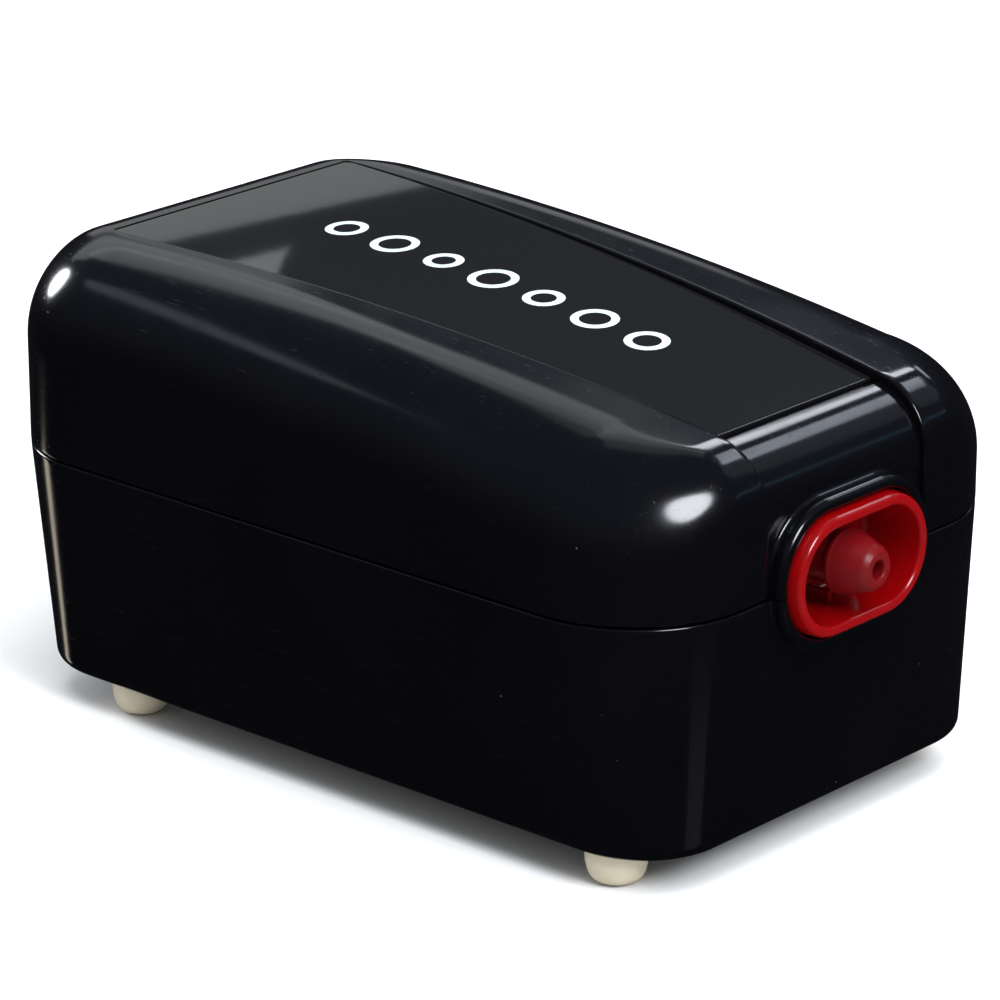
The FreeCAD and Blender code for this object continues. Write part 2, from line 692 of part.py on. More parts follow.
def air_hose():
    """Soft hose from the head's spigot to the nozzle: two straight ends and one gentle double bend."""
    y0, y1 = front_y + cup_floor_depth + 2.6, head_y - head_half - 0.2
    y_a, y_b = front_y + cup_floor_depth + 7.8, head_y - head_half - 5.2
    run = y_b - y_a
    turn = 2 * math.atan(spigot_x / run)
    radius = run / 2 / math.sin(turn)
    bow = radius * math.sin(turn / 2)
    sag = radius * (1 - math.cos(turn / 2))
    mid_x, mid_y = spigot_x / 2, (y_a + y_b) / 2
    points = [
        (0, y0), (0, y_a), (sag, y_a + bow), (mid_x, mid_y),
        (spigot_x - sag, y_b - bow), (spigot_x, y_b), (spigot_x, y1),
    ]
    p = [Vector(x, y, outlet_z) for x, y in points]
    path = Part.Wire([
        Part.LineSegment(p[0], p[1]).toShape(), Part.Arc(p[1], p[2], p[3]).toShape(),
        Part.Arc(p[3], p[4], p[5]).toShape(), Part.LineSegment(p[5], p[6]).toShape(),
    ])

    def swept(r):
        ring = Part.Wire([Part.makeCircle(r, p[0], Vector(0, 1, 0))])
        return path.makePipeShell([ring], True, True)

    return swept(3.4).cut(swept(spigot_radius + 0.05))


nodes = {
    "upper_shell": upper_shell(),
    "lower_shell": lower_shell(),
    "label_plate": label_plate(),
    "outlet_cup": outlet_cup(),
    "outlet_nozzle": outlet_nozzle(),
    "cord_gland": cord_gland(),
    "case_screws": case_screws(),
    "chassis_screws": chassis_screws(),
    "filter_cover": filter_cover(),
    "filter_pad": filter_pad(),
    "core_stack": core_stack(),
    "coil_bobbin": coil_bobbin(),
    "coil_winding": coil_winding(),
    "winding_tape": winding_tape(),
    "coil_pins": coil_pins(),
    "core_bracket": core_bracket(),
    "damping_pad": damping_pad(),
    "pivot_bracket": pivot_bracket(),
    "pivot_pin": pivot_pin(),
    "pivot_bush": pivot_bush(),
    "armature_arm": armature_arm(),
    "magnet_cup": magnet_cup(),
    "armature_magnet": armature_magnet(),
    "diaphragm": diaphragm(),
    "diaphragm_washers": diaphragm_washers(),
    "diaphragm_screw": diaphragm_screw(),
    "clamp_ring": clamp_ring(),
    "valve_body": valve_body(),
    "valve_gasket": valve_gasket(),
    "valve_cover": valve_cover(),
    "head_screws": head_screws(),
    "inlet_flap": inlet_flap(),
    "outlet_flap": outlet_flap(),
    "air_hose": air_hose(),
}
foot_names = ("foot_front_left", "foot_front_right", "foot_back_left", "foot_back_right")
for name, (x, y) in zip(foot_names, foot_places()):
    nodes[name] = foot(x, y)

os.makedirs("parts", exist_ok=True)
for name, shape in nodes.items():
    print(name, shape.isValid(), len(shape.Solids), round(shape.Volume, 1))
    shape.exportStep(f"parts/{name}.step")
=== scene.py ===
import math

import bmesh
import bpy
import numpy as np
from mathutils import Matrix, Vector


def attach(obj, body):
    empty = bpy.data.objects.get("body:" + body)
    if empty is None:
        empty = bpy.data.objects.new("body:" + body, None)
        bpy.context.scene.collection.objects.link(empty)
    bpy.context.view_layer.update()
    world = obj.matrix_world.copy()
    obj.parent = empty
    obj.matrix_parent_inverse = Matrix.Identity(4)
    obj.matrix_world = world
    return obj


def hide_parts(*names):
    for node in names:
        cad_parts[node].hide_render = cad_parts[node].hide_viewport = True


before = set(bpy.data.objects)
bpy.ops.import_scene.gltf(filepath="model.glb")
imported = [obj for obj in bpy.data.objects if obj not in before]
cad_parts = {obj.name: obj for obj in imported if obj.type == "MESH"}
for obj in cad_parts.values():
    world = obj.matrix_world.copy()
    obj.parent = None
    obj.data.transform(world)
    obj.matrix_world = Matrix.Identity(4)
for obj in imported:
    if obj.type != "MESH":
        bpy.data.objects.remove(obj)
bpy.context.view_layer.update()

mm = 0.001                       # metres in a millimetre
sharpAngle = math.radians(34)    # edges that turn more than this stay crisp


def srgb(text, alpha=1.0):
    # sRGB hex to linear: v/12.92 in the dark part, ((v+0.055)/1.055)^2.4 above it
    value = np.array([int(text[i:i + 2], 16) / 255 for i in (1, 3, 5)])
    linear = np.where(value <= 0.04045, value / 12.92, ((value + 0.055) / 1.055) ** 2.4)
    return (*linear.tolist(), alpha)


def addNode(tree, kind, sockets=None, links=None, **settings):
    # one node: its settings, the values of its sockets, and (own socket: other node, its socket) links
    node = tree.nodes.new(kind)
    for key, value in settings.items():
        setattr(node, key, value)
    for key, value in (sockets or {}).items():
        node.inputs[key].default_value = value
    for key, (other, output) in (links or {}).items():
        tree.links.new(other.outputs[output], node.inputs[key])
    return node


def tidyMesh(mesh):
    # doubles merged, flat slivers dissolved, faces turned outwards, smooth with sharp creases
    work = bmesh.new()
    work.from_mesh(mesh)
    bmesh.ops.remove_doubles(work, verts=work.verts, dist=2e-6)
    bmesh.ops.dissolve_degenerate(work, dist=1e-6, edges=work.edges)
    bmesh.ops.recalc_face_normals(work, faces=work.faces)
    work.to_mesh(mesh)
    work.free()
    mesh.shade_smooth()
    mesh.set_sharp_from_angle(angle=sharpAngle)


def buildObject(name, sheets, caps=()):
    # each sheet is a grid of points in mm, joined up in quads and closed across its columns if it wraps;
    # a cap is one flat face on a ring of points
    points, faces, start = [], [], 0
    for grid, wraps in sheets:
        rows, cols = grid.shape[:2]
        c = np.arange(cols if wraps else cols - 1)
        r = np.arange(rows - 1)[:, None] * cols
        quads = np.stack([r + c, r + (c + 1) % cols, r + cols + (c + 1) % cols, r + cols + c], -1)
        faces += (quads.reshape(-1, 4) + start).tolist()
        points.append(grid.reshape(-1, 3))
        start += rows * cols
    for ring in caps:
        faces.append(list(range(start, start + len(ring))))
        points.append(ring)
        start += len(ring)
    mesh = bpy.data.meshes.new(name)
    mesh.from_pydata((np.concatenate(points) * mm).tolist(), [], faces)
    tidyMesh(mesh)
    piece = bpy.data.objects.new(name, mesh)
    bpy.context.scene.collection.objects.link(piece)
    return piece


def place(piece, material, body, slot, *replaced):
    piece.data.materials.clear()
    piece.data.materials.append(material)
    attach(piece, body)
    if replaced:
        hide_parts(*replaced)
    return piece


def carve(piece, cutter):
    # takes the cutter out of the piece for good, then drops the cutter
    step = piece.modifiers.new("carve", "BOOLEAN")
    step.operation = "DIFFERENCE"
    step.solver = "EXACT"
    step.object = cutter
    bpy.context.view_layer.update()
    result = bpy.data.meshes.new_from_object(piece.evaluated_get(bpy.context.evaluated_depsgraph_get()))
    piece.modifiers.clear()
    piece.data = result
    bpy.data.objects.remove(cutter)
    result.shade_smooth()
    result.set_sharp_from_angle(angle=sharpAngle)


def spun(profile, centre, along="z", steps=72):
    # (radius, distance) pairs turned round an axis: centre + radius * (cos a, sin a) across the axis and
    # distance along it
    radius, distance = (np.array(profile, float).T[i][:, None] for i in (0, 1))
    angle = np.linspace(0, 2 * np.pi, steps, endpoint=False)[None, :]
    flat = 0 * angle
    a, b, c = radius * np.cos(angle), radius * np.sin(angle), distance + flat
    order = {"z": (a, b, c), "y": (a, c, b), "x": (c, a, b)}[along]
    return np.stack(order, -1) + np.array(centre, float)


def roundedProfile(corners, radii, steps=6):
    # a polyline whose inner corners are rounded: each corner becomes a circle arc tangent to both its runs
    almostStraight = 1.56                            # radians, half the angle of a corner that hardly turns
    points = np.array(corners, float)
    out = [points[0]]
    for before, corner, after, radius in zip(points[:-2], points[1:-1], points[2:], radii):
        u = (before - corner) / np.linalg.norm(before - corner)
        v = (after - corner) / np.linalg.norm(after - corner)
        half = math.acos(np.clip(u @ v, -1, 1)) / 2
        if radius <= 0 or half > almostStraight:
            out.append(corner)
            continue
        middle = (u + v) / np.linalg.norm(u + v)
        centre = corner + middle * radius / math.sin(half)
        start = corner + u * radius / math.tan(half) - centre
        end = corner + v * radius / math.tan(half) - centre
        spread = math.acos(np.clip(start @ end / radius ** 2, -1, 1))
        t = np.linspace(0, 1, steps)[:, None]
        out += list(centre + (np.sin((1 - t) * spread) * start + np.sin(t * spread) * end) / math.sin(spread))
    out.append(points[-1])
    return np.array(out)


# sizes are in mm, in the frame's axes: the outlet faces -Y, the parting line is level
caseShape = {
    "halfWidth": 35.0, "front": -51.65, "back": 56.15, "corner": 15.9,
    "seam": 33.4, "foot": 4.4, "wall": 2.4,
    "sideTaper": 3.2, "frontTaper": 1.6, "backTaper": 3.2, "lowCorner": 11.0, "lowEdge": 1.6,
    "seamGap": 0.11,         # each half stops this far from the parting line
    "seamEdge": 0.32,        # radius along both sides of the parting line
    "outlet": 34.2,
    "screws": [(-26.0, -26.0), (26.0, -26.0), (-25.0, 45.5), (25.0, 45.5)],
}

lidShape = {
    "stations": (46.65, 1.75, -43.15),          # where the crown heights are given
    "crown": (25.3, 23.7, 18.3),                # shoulders above the parting line
    "panel": (25.2, 23.2, 17.3),                # label panel above the parting line
    "sideBall": (14.0, 12.8),                   # long shoulder radius, front and back
    "endBall": (8.5, 9.5),                      # end shoulder radius, front and back
    "panelHalf": (14.7, 20.8),                  # half width of the panel, front and back
    "panelBack": 46.2,
    "channelHalf": 14.3,
    "channelDepth": 0.8,
    "labelPocket": 0.52,
    "lip": 0.34,                                # rounding along the panel's edges
    "lipShare": 0.6,                            # never more of a step's depth than this
    "lipFade": 3.0,                             # length over which the rounding dies out at the panel's back
    "flare": 4.5,                               # width over which the channel's edge leans outwards
    "mesh": {"front": 7, "corner": 34, "side": 84, "seamEdge": 6, "wall": 12, "ball": 26, "crown": 14,
             "lip": 5, "strip": 30},
}


def crownCurve(heights, inset=0.0):
    # circle in the middle plane through three heights, shrunk by inset; returns height and slope at any y
    y = np.array(lidShape["stations"])
    z = caseShape["seam"] + np.array(heights)
    a, b, c = np.linalg.solve(np.stack([y, z, np.ones(3)], 1), -(y * y + z * z))
    yc, zc = -a / 2, -b / 2
    radius = math.sqrt(yc * yc + zc * zc - c) - inset

    def at(where):
        rise = np.sqrt(radius ** 2 - (where - yc) ** 2)
        return zc + rise, -(where - yc) / rise

    return at


def panelHalf(y):
    # the panel's half width grows evenly from its front edge to its back edge, then closes to the back corner
    shape = lidShape
    front, back = shape["panelHalf"]
    y0, y1 = caseShape["front"] + shape["endBall"][0], shape["panelBack"]
    return np.interp(y, [y0, y1, caseShape["back"] - shape["endBall"][1]],
                     [front, back, caseShape["halfWidth"] - caseShape["corner"]])


def sideOutline(inset, lip):
    # seen from above: from the channel's edge round the front corner, along the side, round the back corner
    c, n = caseShape, lidShape["mesh"]
    r = c["corner"] - inset
    xc = c["halfWidth"] - c["corner"]
    yf, yb = c["front"] + c["corner"], c["back"] - c["corner"]
    x = np.linspace(lidShape["channelHalf"] + lip, xc, n["front"])[:-1]
    turn = np.linspace(-90, 0, n["corner"])
    side = np.linspace(yf, yb, n["side"])[1:-1]
    bend = np.linspace(0, 90, n["corner"])
    angle = np.radians(np.concatenate([np.full(len(x), -90.0), turn, 0 * side, bend]))
    normal = np.stack([np.cos(angle), np.sin(angle)], -1)
    hub = np.concatenate([
        np.stack([x, np.full(len(x), yf)], -1),
        np.tile([xc, yf], (len(turn), 1)),
        np.stack([np.full(len(side), xc), side], -1),
        np.tile([xc, yb], (len(bend), 1)),
    ])
    return hub + normal * r, normal


def lidSide(inset, lip):
    # right shoulder zone. Going inwards a distance d from an outline point there is a plumb wall up to
    # the spring of a ball of radius r, then the ball, d = r(1 - cos t) and z = spring + r sin t, until it
    # has the crown's slope, then the crown
    shape, c, n = lidShape, caseShape, lidShape["mesh"]
    point, normal = sideOutline(inset, lip)
    share = (point[:, 1] - c["front"]) / (c["back"] - c["front"])
    side = shape["sideBall"][0] + (shape["sideBall"][1] - shape["sideBall"][0]) * share
    end = np.where(normal[:, 1] > 0, shape["endBall"][1], shape["endBall"][0])
    # the border between ball and crown turns each corner on an ellipse about the outline's own corner centre
    across, along = normal[:, 0] / (c["corner"] - side), normal[:, 1] / (c["corner"] - end)
    ball = c["corner"] - 1 / np.hypot(across, along) - inset
    crown = crownCurve(shape["crown"], inset)
    height, rise = crown((point - normal * ball[:, None])[:, 1])
    slope = -normal[:, 1] * rise
    spring = height - ball * np.sqrt(1 + slope ** 2)
    low = c["seam"] + c["seamGap"]
    edge = c["seamEdge"] if not inset else 0.0

    phi = np.linspace(0, np.pi / 2, n["seamEdge"])[None, :]
    holding = 0.02                                   # share of the wall's height kept straight above the edge
    up = np.concatenate([[holding], np.linspace(0, 1, n["wall"])[1:]])[None, :]
    t = (np.pi / 2 - np.arctan(slope))[:, None] * np.linspace(0, 1, n["ball"])[None, 1:]
    r, s = ball[:, None], spring[:, None]
    d = np.concatenate([edge * (1 - np.sin(phi)) + 0 * r, 0 * r + 0 * up, r * (1 - np.cos(t))], 1)
    z = np.concatenate([low + edge * (1 - np.cos(phi)) + 0 * r, low + edge + (s - low - edge) * up,
                        s + r * np.sin(t)], 1)
    plan = point[:, None, :] - normal[:, None, :] * d[:, :, None]
    # the channel's edge leans outwards from the front face to the panel
    onFront = point[:, 1] < c["front"] + inset + 0.01
    lean = np.clip(1 - (point[:, 0] - point[0, 0]) / shape["flare"], 0, 1) * onFront
    plan[:, :, 0] += lean[:, None] * (shape["panelHalf"][0] - shape["channelHalf"]) * d / ball[0]

    inner = plan[:, -1]
    travelled = np.concatenate([[0], np.cumsum(np.linalg.norm(np.diff(inner, axis=0), axis=1))])
    y = inner[0, 1] + (inner[-1, 1] - inner[0, 1]) * travelled / travelled[-1]
    k = int(np.argmin(abs(y - shape["panelBack"])))
    y[k] = shape["panelBack"]
    target = np.stack([panelHalf(y) + lip * np.clip((y[k] - y) / shape["lipFade"], 0, 1), y], -1)
    target[[0, -1]] = inner[[0, -1]]
    w = np.linspace(0, 1, n["crown"])[None, 1:, None]
    inwards = inner[:, None, :] + (target - inner)[:, None, :] * w
    plan = np.concatenate([plan, inwards], 1)
    z = np.concatenate([z, crown(inwards[..., 1])[0]], 1)
    grid = np.concatenate([plan, z[..., None]], 2)
    ballEnd = d.shape[1]
    facing = np.zeros((ballEnd, 3))                  # way into the body along the channel's edge
    facing[:, 1] = np.concatenate([np.ones(ballEnd - t.shape[1]), np.cos(t[0])])
    facing[:, 2] = -np.concatenate([np.zeros(ballEnd - t.shape[1]), np.sin(t[0])])
    return grid, ballEnd, k, facing


def panelEdge(side, ballEnd, k, facing):
    # the shoulder zone's inner border from the front seam over the top to the back seam, and how deep the
    # panel lies below it: the channel's depth, the step to the label's pocket, nothing behind the label
    shape = lidShape
    front, top, back = side[0, :ballEnd], side[1:-1, -1], side[-1, :ballEnd][::-1]
    crown, panel = crownCurve(shape["crown"]), crownCurve(shape["panel"])
    step = crown(top[:, 1])[0] - panel(top[:, 1])[0]
    tip = crown(front[-1, 1])[0] - panel(front[-1, 1])[0]
    climb = np.clip(-facing[:, 2], 0, 1)
    depth = np.concatenate([
        shape["channelDepth"] + (tip - shape["channelDepth"]) * climb,
        [tip + shape["labelPocket"]],
        step[:k] + shape["labelPocket"], 0 * step[k - 1:], np.zeros(ballEnd),
    ])
    border = np.concatenate([front, front[-1:], top[:k], top[k - 1:], back])
    down = np.tile([0.0, 0.0, -1.0], (len(border), 1))
    down[:ballEnd] = facing
    return border, depth, down


def lidSheets():
    # both shoulder zones, outside and inside, the panel's edges, and the channel and panel as strips across
    shape, n = lidShape, lidShape["mesh"]
    outer, ballEnd, k, facing = lidSide(0.0, shape["lip"])
    inner, innerEnd, _, _ = lidSide(caseShape["wall"], 0.0)
    border, depth, down = panelEdge(outer, ballEnd, k, facing)
    lip = np.minimum(shape["lip"], shape["lipShare"] * depth)[:, None]
    lip[-ballEnd - 1:] = 0
    phi = np.linspace(0, np.pi / 2, n["lip"])[None, :]
    wallRows = np.array([[0.15, 0.85, 1.0]])         # shares of the step's plumb part, below the rounding
    sideways = np.concatenate([lip * np.sin(phi), lip + 0 * wallRows], 1)
    sunk = np.concatenate([lip * (1 - np.cos(phi)), lip + (depth[:, None] - lip) * wallRows], 1)
    step = border[:, None, :] + down[:, None, :] * sunk[..., None]
    step[..., 0] -= sideways
    across = np.linspace(1, -1, n["strip"])[None, :, None] * np.array([1.0, 0, 0]) + np.array([0, 1.0, 1.0])
    strip = step[:, -1][:, None, :] * across
    innerBorder = np.concatenate([inner[0, :innerEnd], inner[1:-1, -1], inner[-1, :innerEnd][::-1]])
    innerStrip = innerBorder[:, None, :] * across
    mirror = np.array([-1.0, 1, 1])
    halves = [outer, inner, step,
              np.stack([outer[:, 0], inner[:, 0]], 1),
              np.stack([step[0], np.tile(inner[0, 0], (step.shape[1], 1))], 1)]
    sheets = [(half * way, False) for half in halves for way in (1, mirror)]
    sheets += [(strip, False), (innerStrip, False)]
    sheets += [(np.stack([strip[row], innerStrip[row]], 1), False) for row in (0, -1)]
    return sheets


tubShape = {
    "floorInset": 9.0,       # the floor's flat caps start this far in from the outside
    "innerCorner": 1.0,      # radius between the inner wall and the floor
    "longRun": 3.0,          # a straight run longer than this gets rings along it
    "holding": 0.4,          # its first and last rings are this far from its ends
    "mesh": {"corner": 26, "long": 50, "short": 26, "arc": 9, "run": 8},
}


def tubRing(z, inset):
    # rounded rectangle that narrows evenly from the parting line down to the floor, drawn in by inset
    c, n = caseShape, tubShape["mesh"]
    share = np.clip((c["seam"] - z) / (c["seam"] - c["foot"]), 0, 1)
    half = c["halfWidth"] - c["sideTaper"] * share - inset
    front = c["front"] + c["frontTaper"] * share + inset
    back = c["back"] - c["backTaper"] * share - inset
    r = c["corner"] + (c["lowCorner"] - c["corner"]) * share - inset
    arc = np.radians(np.linspace(0, 90, n["corner"]))
    long, short = np.linspace(0, 1, n["long"])[1:-1], np.linspace(0, 1, n["short"])[1:-1]
    corners = [(half - r, back - r), (r - half, back - r), (r - half, front + r), (half - r, front + r)]
    ring = []
    for i, (x, y) in enumerate(corners):
        angle = arc + i * np.pi / 2
        ring.append(np.stack([x + r * np.cos(angle), y + r * np.sin(angle)], -1))
        end = ring[-1][-1]
        x2, y2 = corners[(i + 1) % 4]
        turned = (i + 1) * np.pi / 2
        start = np.array([x2 + r * math.cos(turned), y2 + r * math.sin(turned)])
        run = short if i % 2 == 0 else long
        ring.append(end + (start - end) * run[:, None])
    ring = np.concatenate(ring)
    return np.concatenate([ring, np.full((len(ring), 1), z)], 1)


def tubSheets():
    # one section path of (inset, height): inner floor, inner wall, rim, outer wall, rounded low edge,
    # underside
    c, t = caseShape, tubShape
    top, low, wall = c["seam"] - c["seamGap"], c["foot"], c["wall"]
    path = roundedProfile(
        [(t["floorInset"], low + wall), (wall, low + wall), (wall, top), (0.0, top), (0.0, low),
         (t["floorInset"], low)],
        [t["innerCorner"], 0.0, c["seamEdge"], c["lowEdge"]], t["mesh"]["arc"])
    stops = [path[0]]
    for a, b in zip(path[:-1], path[1:]):
        length = np.linalg.norm(b - a)
        if length > t["longRun"]:
            first = t["holding"] / length
            stops += [a + (b - a) * u for u in (first, *np.linspace(0, 1, t["mesh"]["run"])[1:-1], 1 - first)]
        stops.append(b)
    rings = np.stack([tubRing(z, inset) for inset, z in stops])
    return [(rings, True)], [rings[0], rings[-1]]


# "proud" is how far a piece stands out of the front face
outletShape = {
    "bezelHalf": (13.8, 9.05), "bezelProud": 1.3, "bezelEdge": 0.8, "bezelFoot": 0.55, "bezelHoleEdge": 0.42,
    "cupHalf": (12.25, 7.5), "cupInner": 5.5, "rimOuter": 7.1, "rimInner": 5.85, "rimProud": 2.5,
    "rimStep": 0.22,         # the rim's outside grows by this before it widens to the cup's own outside
    "cupDepth": 5.5, "floorThick": 1.5, "floorOval": 2.0, "holeGap": 0.1,
    "flange": 1.5, "flangeGap": 0.05, "nozzleHole": 3.28,
}


def stadium(radius, flat, share, sink=None):
    # flat-sided oval round the outlet's axis: two half circles of this radius, 2 * flat apart, joined by
    # straight runs. share 0..1 goes evenly round it from its right end over the top. With sink it is only
    # the part above the level plane at that height over the axis
    share = np.asarray(share, float)
    first = 0.0 if sink is None else math.asin(np.clip(sink / radius, -1, 1))
    arc = (np.pi / 2 - first) * radius
    runs = [arc, 2 * flat, arc] if sink is not None else [arc, 2 * flat, 2 * arc, 2 * flat, arc]
    knots = np.concatenate([[0], np.cumsum(runs)])
    angles = [first, np.pi / 2, np.pi / 2, np.pi - first]
    ends = [flat, flat, -flat, -flat]
    if sink is None:
        angles = [0.0, np.pi / 2, np.pi / 2, 1.5 * np.pi, 1.5 * np.pi, 2 * np.pi]
        ends += [flat, flat]
    s = share * knots[-1]
    angle = np.interp(s, knots, angles)
    return np.interp(s, knots, ends) + radius * np.cos(angle), radius * np.sin(angle)


def ovalRings(profile, flat, centreZ, share):
    # (radius, y) pairs carried round the flat-sided oval
    rings = []
    for radius, y in profile:
        x, z = stadium(radius, flat, share)
        rings.append(np.stack([x, np.full(len(x), y), z + centreZ], -1))
    return np.stack(rings)


def bezelSheets(upper):
    # half of the raised ring: a hollow fillet at its foot, its side, a rounded edge, its face, the hole's
    # wall. The foot follows the wall behind it, which lies at its own depth at each place: the channel's
    # level face above the parting line, the tapering front below it
    o, c = outletShape, caseShape
    radius = o["bezelHalf"][1]
    flat = o["bezelHalf"][0] - radius
    hole = o["cupHalf"][1] + o["holeGap"]
    face = c["front"] - o["bezelProud"]
    back = c["front"] + c["wall"]
    share = np.linspace(0, 1, 121)
    sign = 1 if upper else -1
    sink = sign * (c["seam"] - c["outlet"]) + c["seamGap"]

    def wallDepth(x, z):
        if upper:
            return np.full(len(x), c["front"] + lidShape["channelDepth"])
        return c["front"] + c["frontTaper"] * (c["seam"] - z) / (c["seam"] - c["foot"])

    fillet, sunk, sideRow = o["bezelFoot"], 0.02, 1.2
    rows = []
    for phi in np.linspace(0, np.pi / 2, 7):
        x, z = stadium(radius + fillet * (1 - math.sin(phi)), flat, share, sink)
        z = c["outlet"] + sign * z
        rows.append(np.stack([x, wallDepth(x, z) + sunk - fillet * (1 - math.cos(phi)), z], -1))
    profile = roundedProfile(
        [(radius, face + sideRow), (radius, face), (hole, face), (hole, back), (radius, back)],
        [o["bezelEdge"], o["bezelHoleEdge"], 0.0], 8)
    for r, y in profile:
        x, z = stadium(r, flat, share, sink)
        rows.append(np.stack([x, np.full(len(x), y), c["outlet"] + sign * z], -1))
    rows.append(rows[0])
    rings = np.stack(rows)
    return [(rings, False)], [rings[:-1, 0], rings[:-1, -1]]


def cupSheets():
    # from the nozzle's hole over the cup's floor, up its wall, round the rim, back along the outside,
    # round the flange and in again behind the floor; the floor's rings change evenly from the oval to the
    # round hole
    o, c = outletShape, caseShape
    outer, inner = o["cupHalf"][1], o["cupInner"]
    flat = o["cupHalf"][0] - outer
    rim, floorY = c["front"] - o["rimProud"], c["front"] + o["cupDepth"]
    behind = floorY + o["floorThick"]
    near = c["front"] + c["wall"] + o["flangeGap"]
    far = c["front"] + c["wall"] + o["flange"]
    ringFace = c["front"] - o["bezelProud"]
    share = np.linspace(0, 1, 160, endpoint=False)
    profile = roundedProfile(
        [(inner - o["floorOval"], floorY), (inner, floorY), (o["rimInner"], rim), (o["rimOuter"], rim),
         (o["rimOuter"] + o["rimStep"], ringFace + 0.5), (outer, c["front"] + 0.6), (outer, near),
         (outer + o["flange"], near), (outer + o["flange"], far), (outer, far), (outer, behind),
         (inner - o["floorOval"], behind)],
        [0.9, 0.5, 0.6, 1.0, 1.0, 0.0, 0.2, 0.2, 0.0, 0.4], 9)
    rings = ovalRings(profile, flat, c["outlet"], share)
    angle, hole = share * 2 * np.pi, o["nozzleHole"]
    hole = np.stack([hole * np.cos(angle), 0 * angle, c["outlet"] + hole * np.sin(angle)], -1)
    blend = np.linspace(1, 0, 6)[:-1, None, None]
    ends = []
    for first, y in ((rings[0], floorY), (rings[-1], behind)):
        ring = first + (hole + np.array([0, y, 0]) - first) * blend
        ring[..., 1] = y
        ends.append(ring)
    whole = np.concatenate([ends[0], rings, ends[1][::-1]])
    whole = np.concatenate([whole, whole[:1]])
    return [(whole, True)]


def ribSheet(x0, x1, z0, z1, y0, y1):
    # small moulded rib along y: its section is a superellipse, (x/a)^n + (z/b)^n = 1, that closes over
    # the front end from a quarter circle's worth of rings
    n, ringCount, domeRings, nose = 5.0, 9, 4, 0.75
    centre = np.array([(x0 + x1) / 2, y1, (z0 + z1) / 2])
    half = np.array([(x1 - x0) / 2, y1 - y0, (z1 - z0) / 2])
    angle = np.linspace(0, 2 * np.pi, 32, endpoint=False)[None, :]
    way = np.linspace(0, 1, ringCount)[:, None]
    x = np.sign(np.cos(angle)) * abs(np.cos(angle)) ** (2 / n)
    z = np.sign(np.sin(angle)) * abs(np.sin(angle)) ** (2 / n)
    dome = (1 - (1 - way[:domeRings] / way[domeRings]) ** 2) ** 0.5 * (1 - nose) + nose
    size = np.concatenate([dome, np.ones((ringCount - domeRings, 1))])
    size[0] = 0                                      # the first ring is the front face's middle point
    back = np.concatenate([[[0.0], [0.0]], way[2:]])
    grid = np.stack([x * size * half[0], (back - 1) * half[1] + 0 * angle, z * size * half[2]], -1)
    return (grid + centre, True)


print("shapes defined")


def newMaterial(name):
    material = bpy.data.materials.new(name)
    material.use_nodes = True
    tree = material.node_tree
    tree.nodes.clear()
    output = addNode(tree, "ShaderNodeOutputMaterial")
    return material, tree, output


def mottled(name, look):
    # a finish with fine mottling: a coarse noise shades the colour and the roughness a little, a fine one
    # raises the surface; patch, grain and depth are in mm
    material, tree, output = newMaterial(name)
    spot = addNode(tree, "ShaderNodeTexCoord")
    coarse = addNode(tree, "ShaderNodeTexNoise", {"Scale": 1 / (look["patch"] * mm), "Detail": 3.0},
                     {"Vector": (spot, "Object")})
    fine = addNode(tree, "ShaderNodeTexNoise", {"Scale": 1 / (look["grain"] * mm), "Detail": 2.0},
                   {"Vector": (spot, "Object")})
    tint = addNode(tree, "ShaderNodeMix", {6: srgb(look["colour"]), 7: srgb(look["shade"])},
                   {0: (coarse, "Fac")}, data_type="RGBA")
    gloss = addNode(tree, "ShaderNodeMapRange", {"To Min": look["rough"][0], "To Max": look["rough"][1]},
                    {"Value": (coarse, "Fac")})
    bump = addNode(tree, "ShaderNodeBump", {"Strength": look["relief"], "Distance": look["depth"] * mm},
                   {"Height": (fine, "Fac")})
    shader = addNode(tree, "ShaderNodeBsdfPrincipled", look["shader"],
                     {"Base Color": (tint, 2), "Roughness": (gloss, "Result"), "Normal": (bump, "Normal")})
    tree.links.new(shader.outputs["BSDF"], output.inputs["Surface"])
    return material


# Injection-moulded ABS, black, high-polish tool: a deep mirror-like gloss that goes slightly hazy where
# it has been handled, with a few hair scratches and dust specks
absLook = {
    "colour": "#030304", "worn": "#07070A", "dust": "#6F737C",
    "ior": 1.53, "rough": (0.105, 0.2),
    "haze": 26.0,            # mm, size of the hazy patches
    "speck": 2.6,            # mm between dust specks
    "speckSize": (0.018, 0.034), "speckCover": 0.85,
    "speckShare": 0.56,      # specks lie where the haze is above this
    "hair": 0.17,            # mm, width of a hair scratch
    "hairLong": 0.035,       # its width over its length
    "hairTurn": (0.25, 0.15, 0.35), "hairRare": (0.80, 0.84), "hairRough": 0.4, "hairDeep": 0.02,
    "sink": 9.0,             # mm, slow waviness of a moulded wall
    "sinkDeep": 0.03,
}


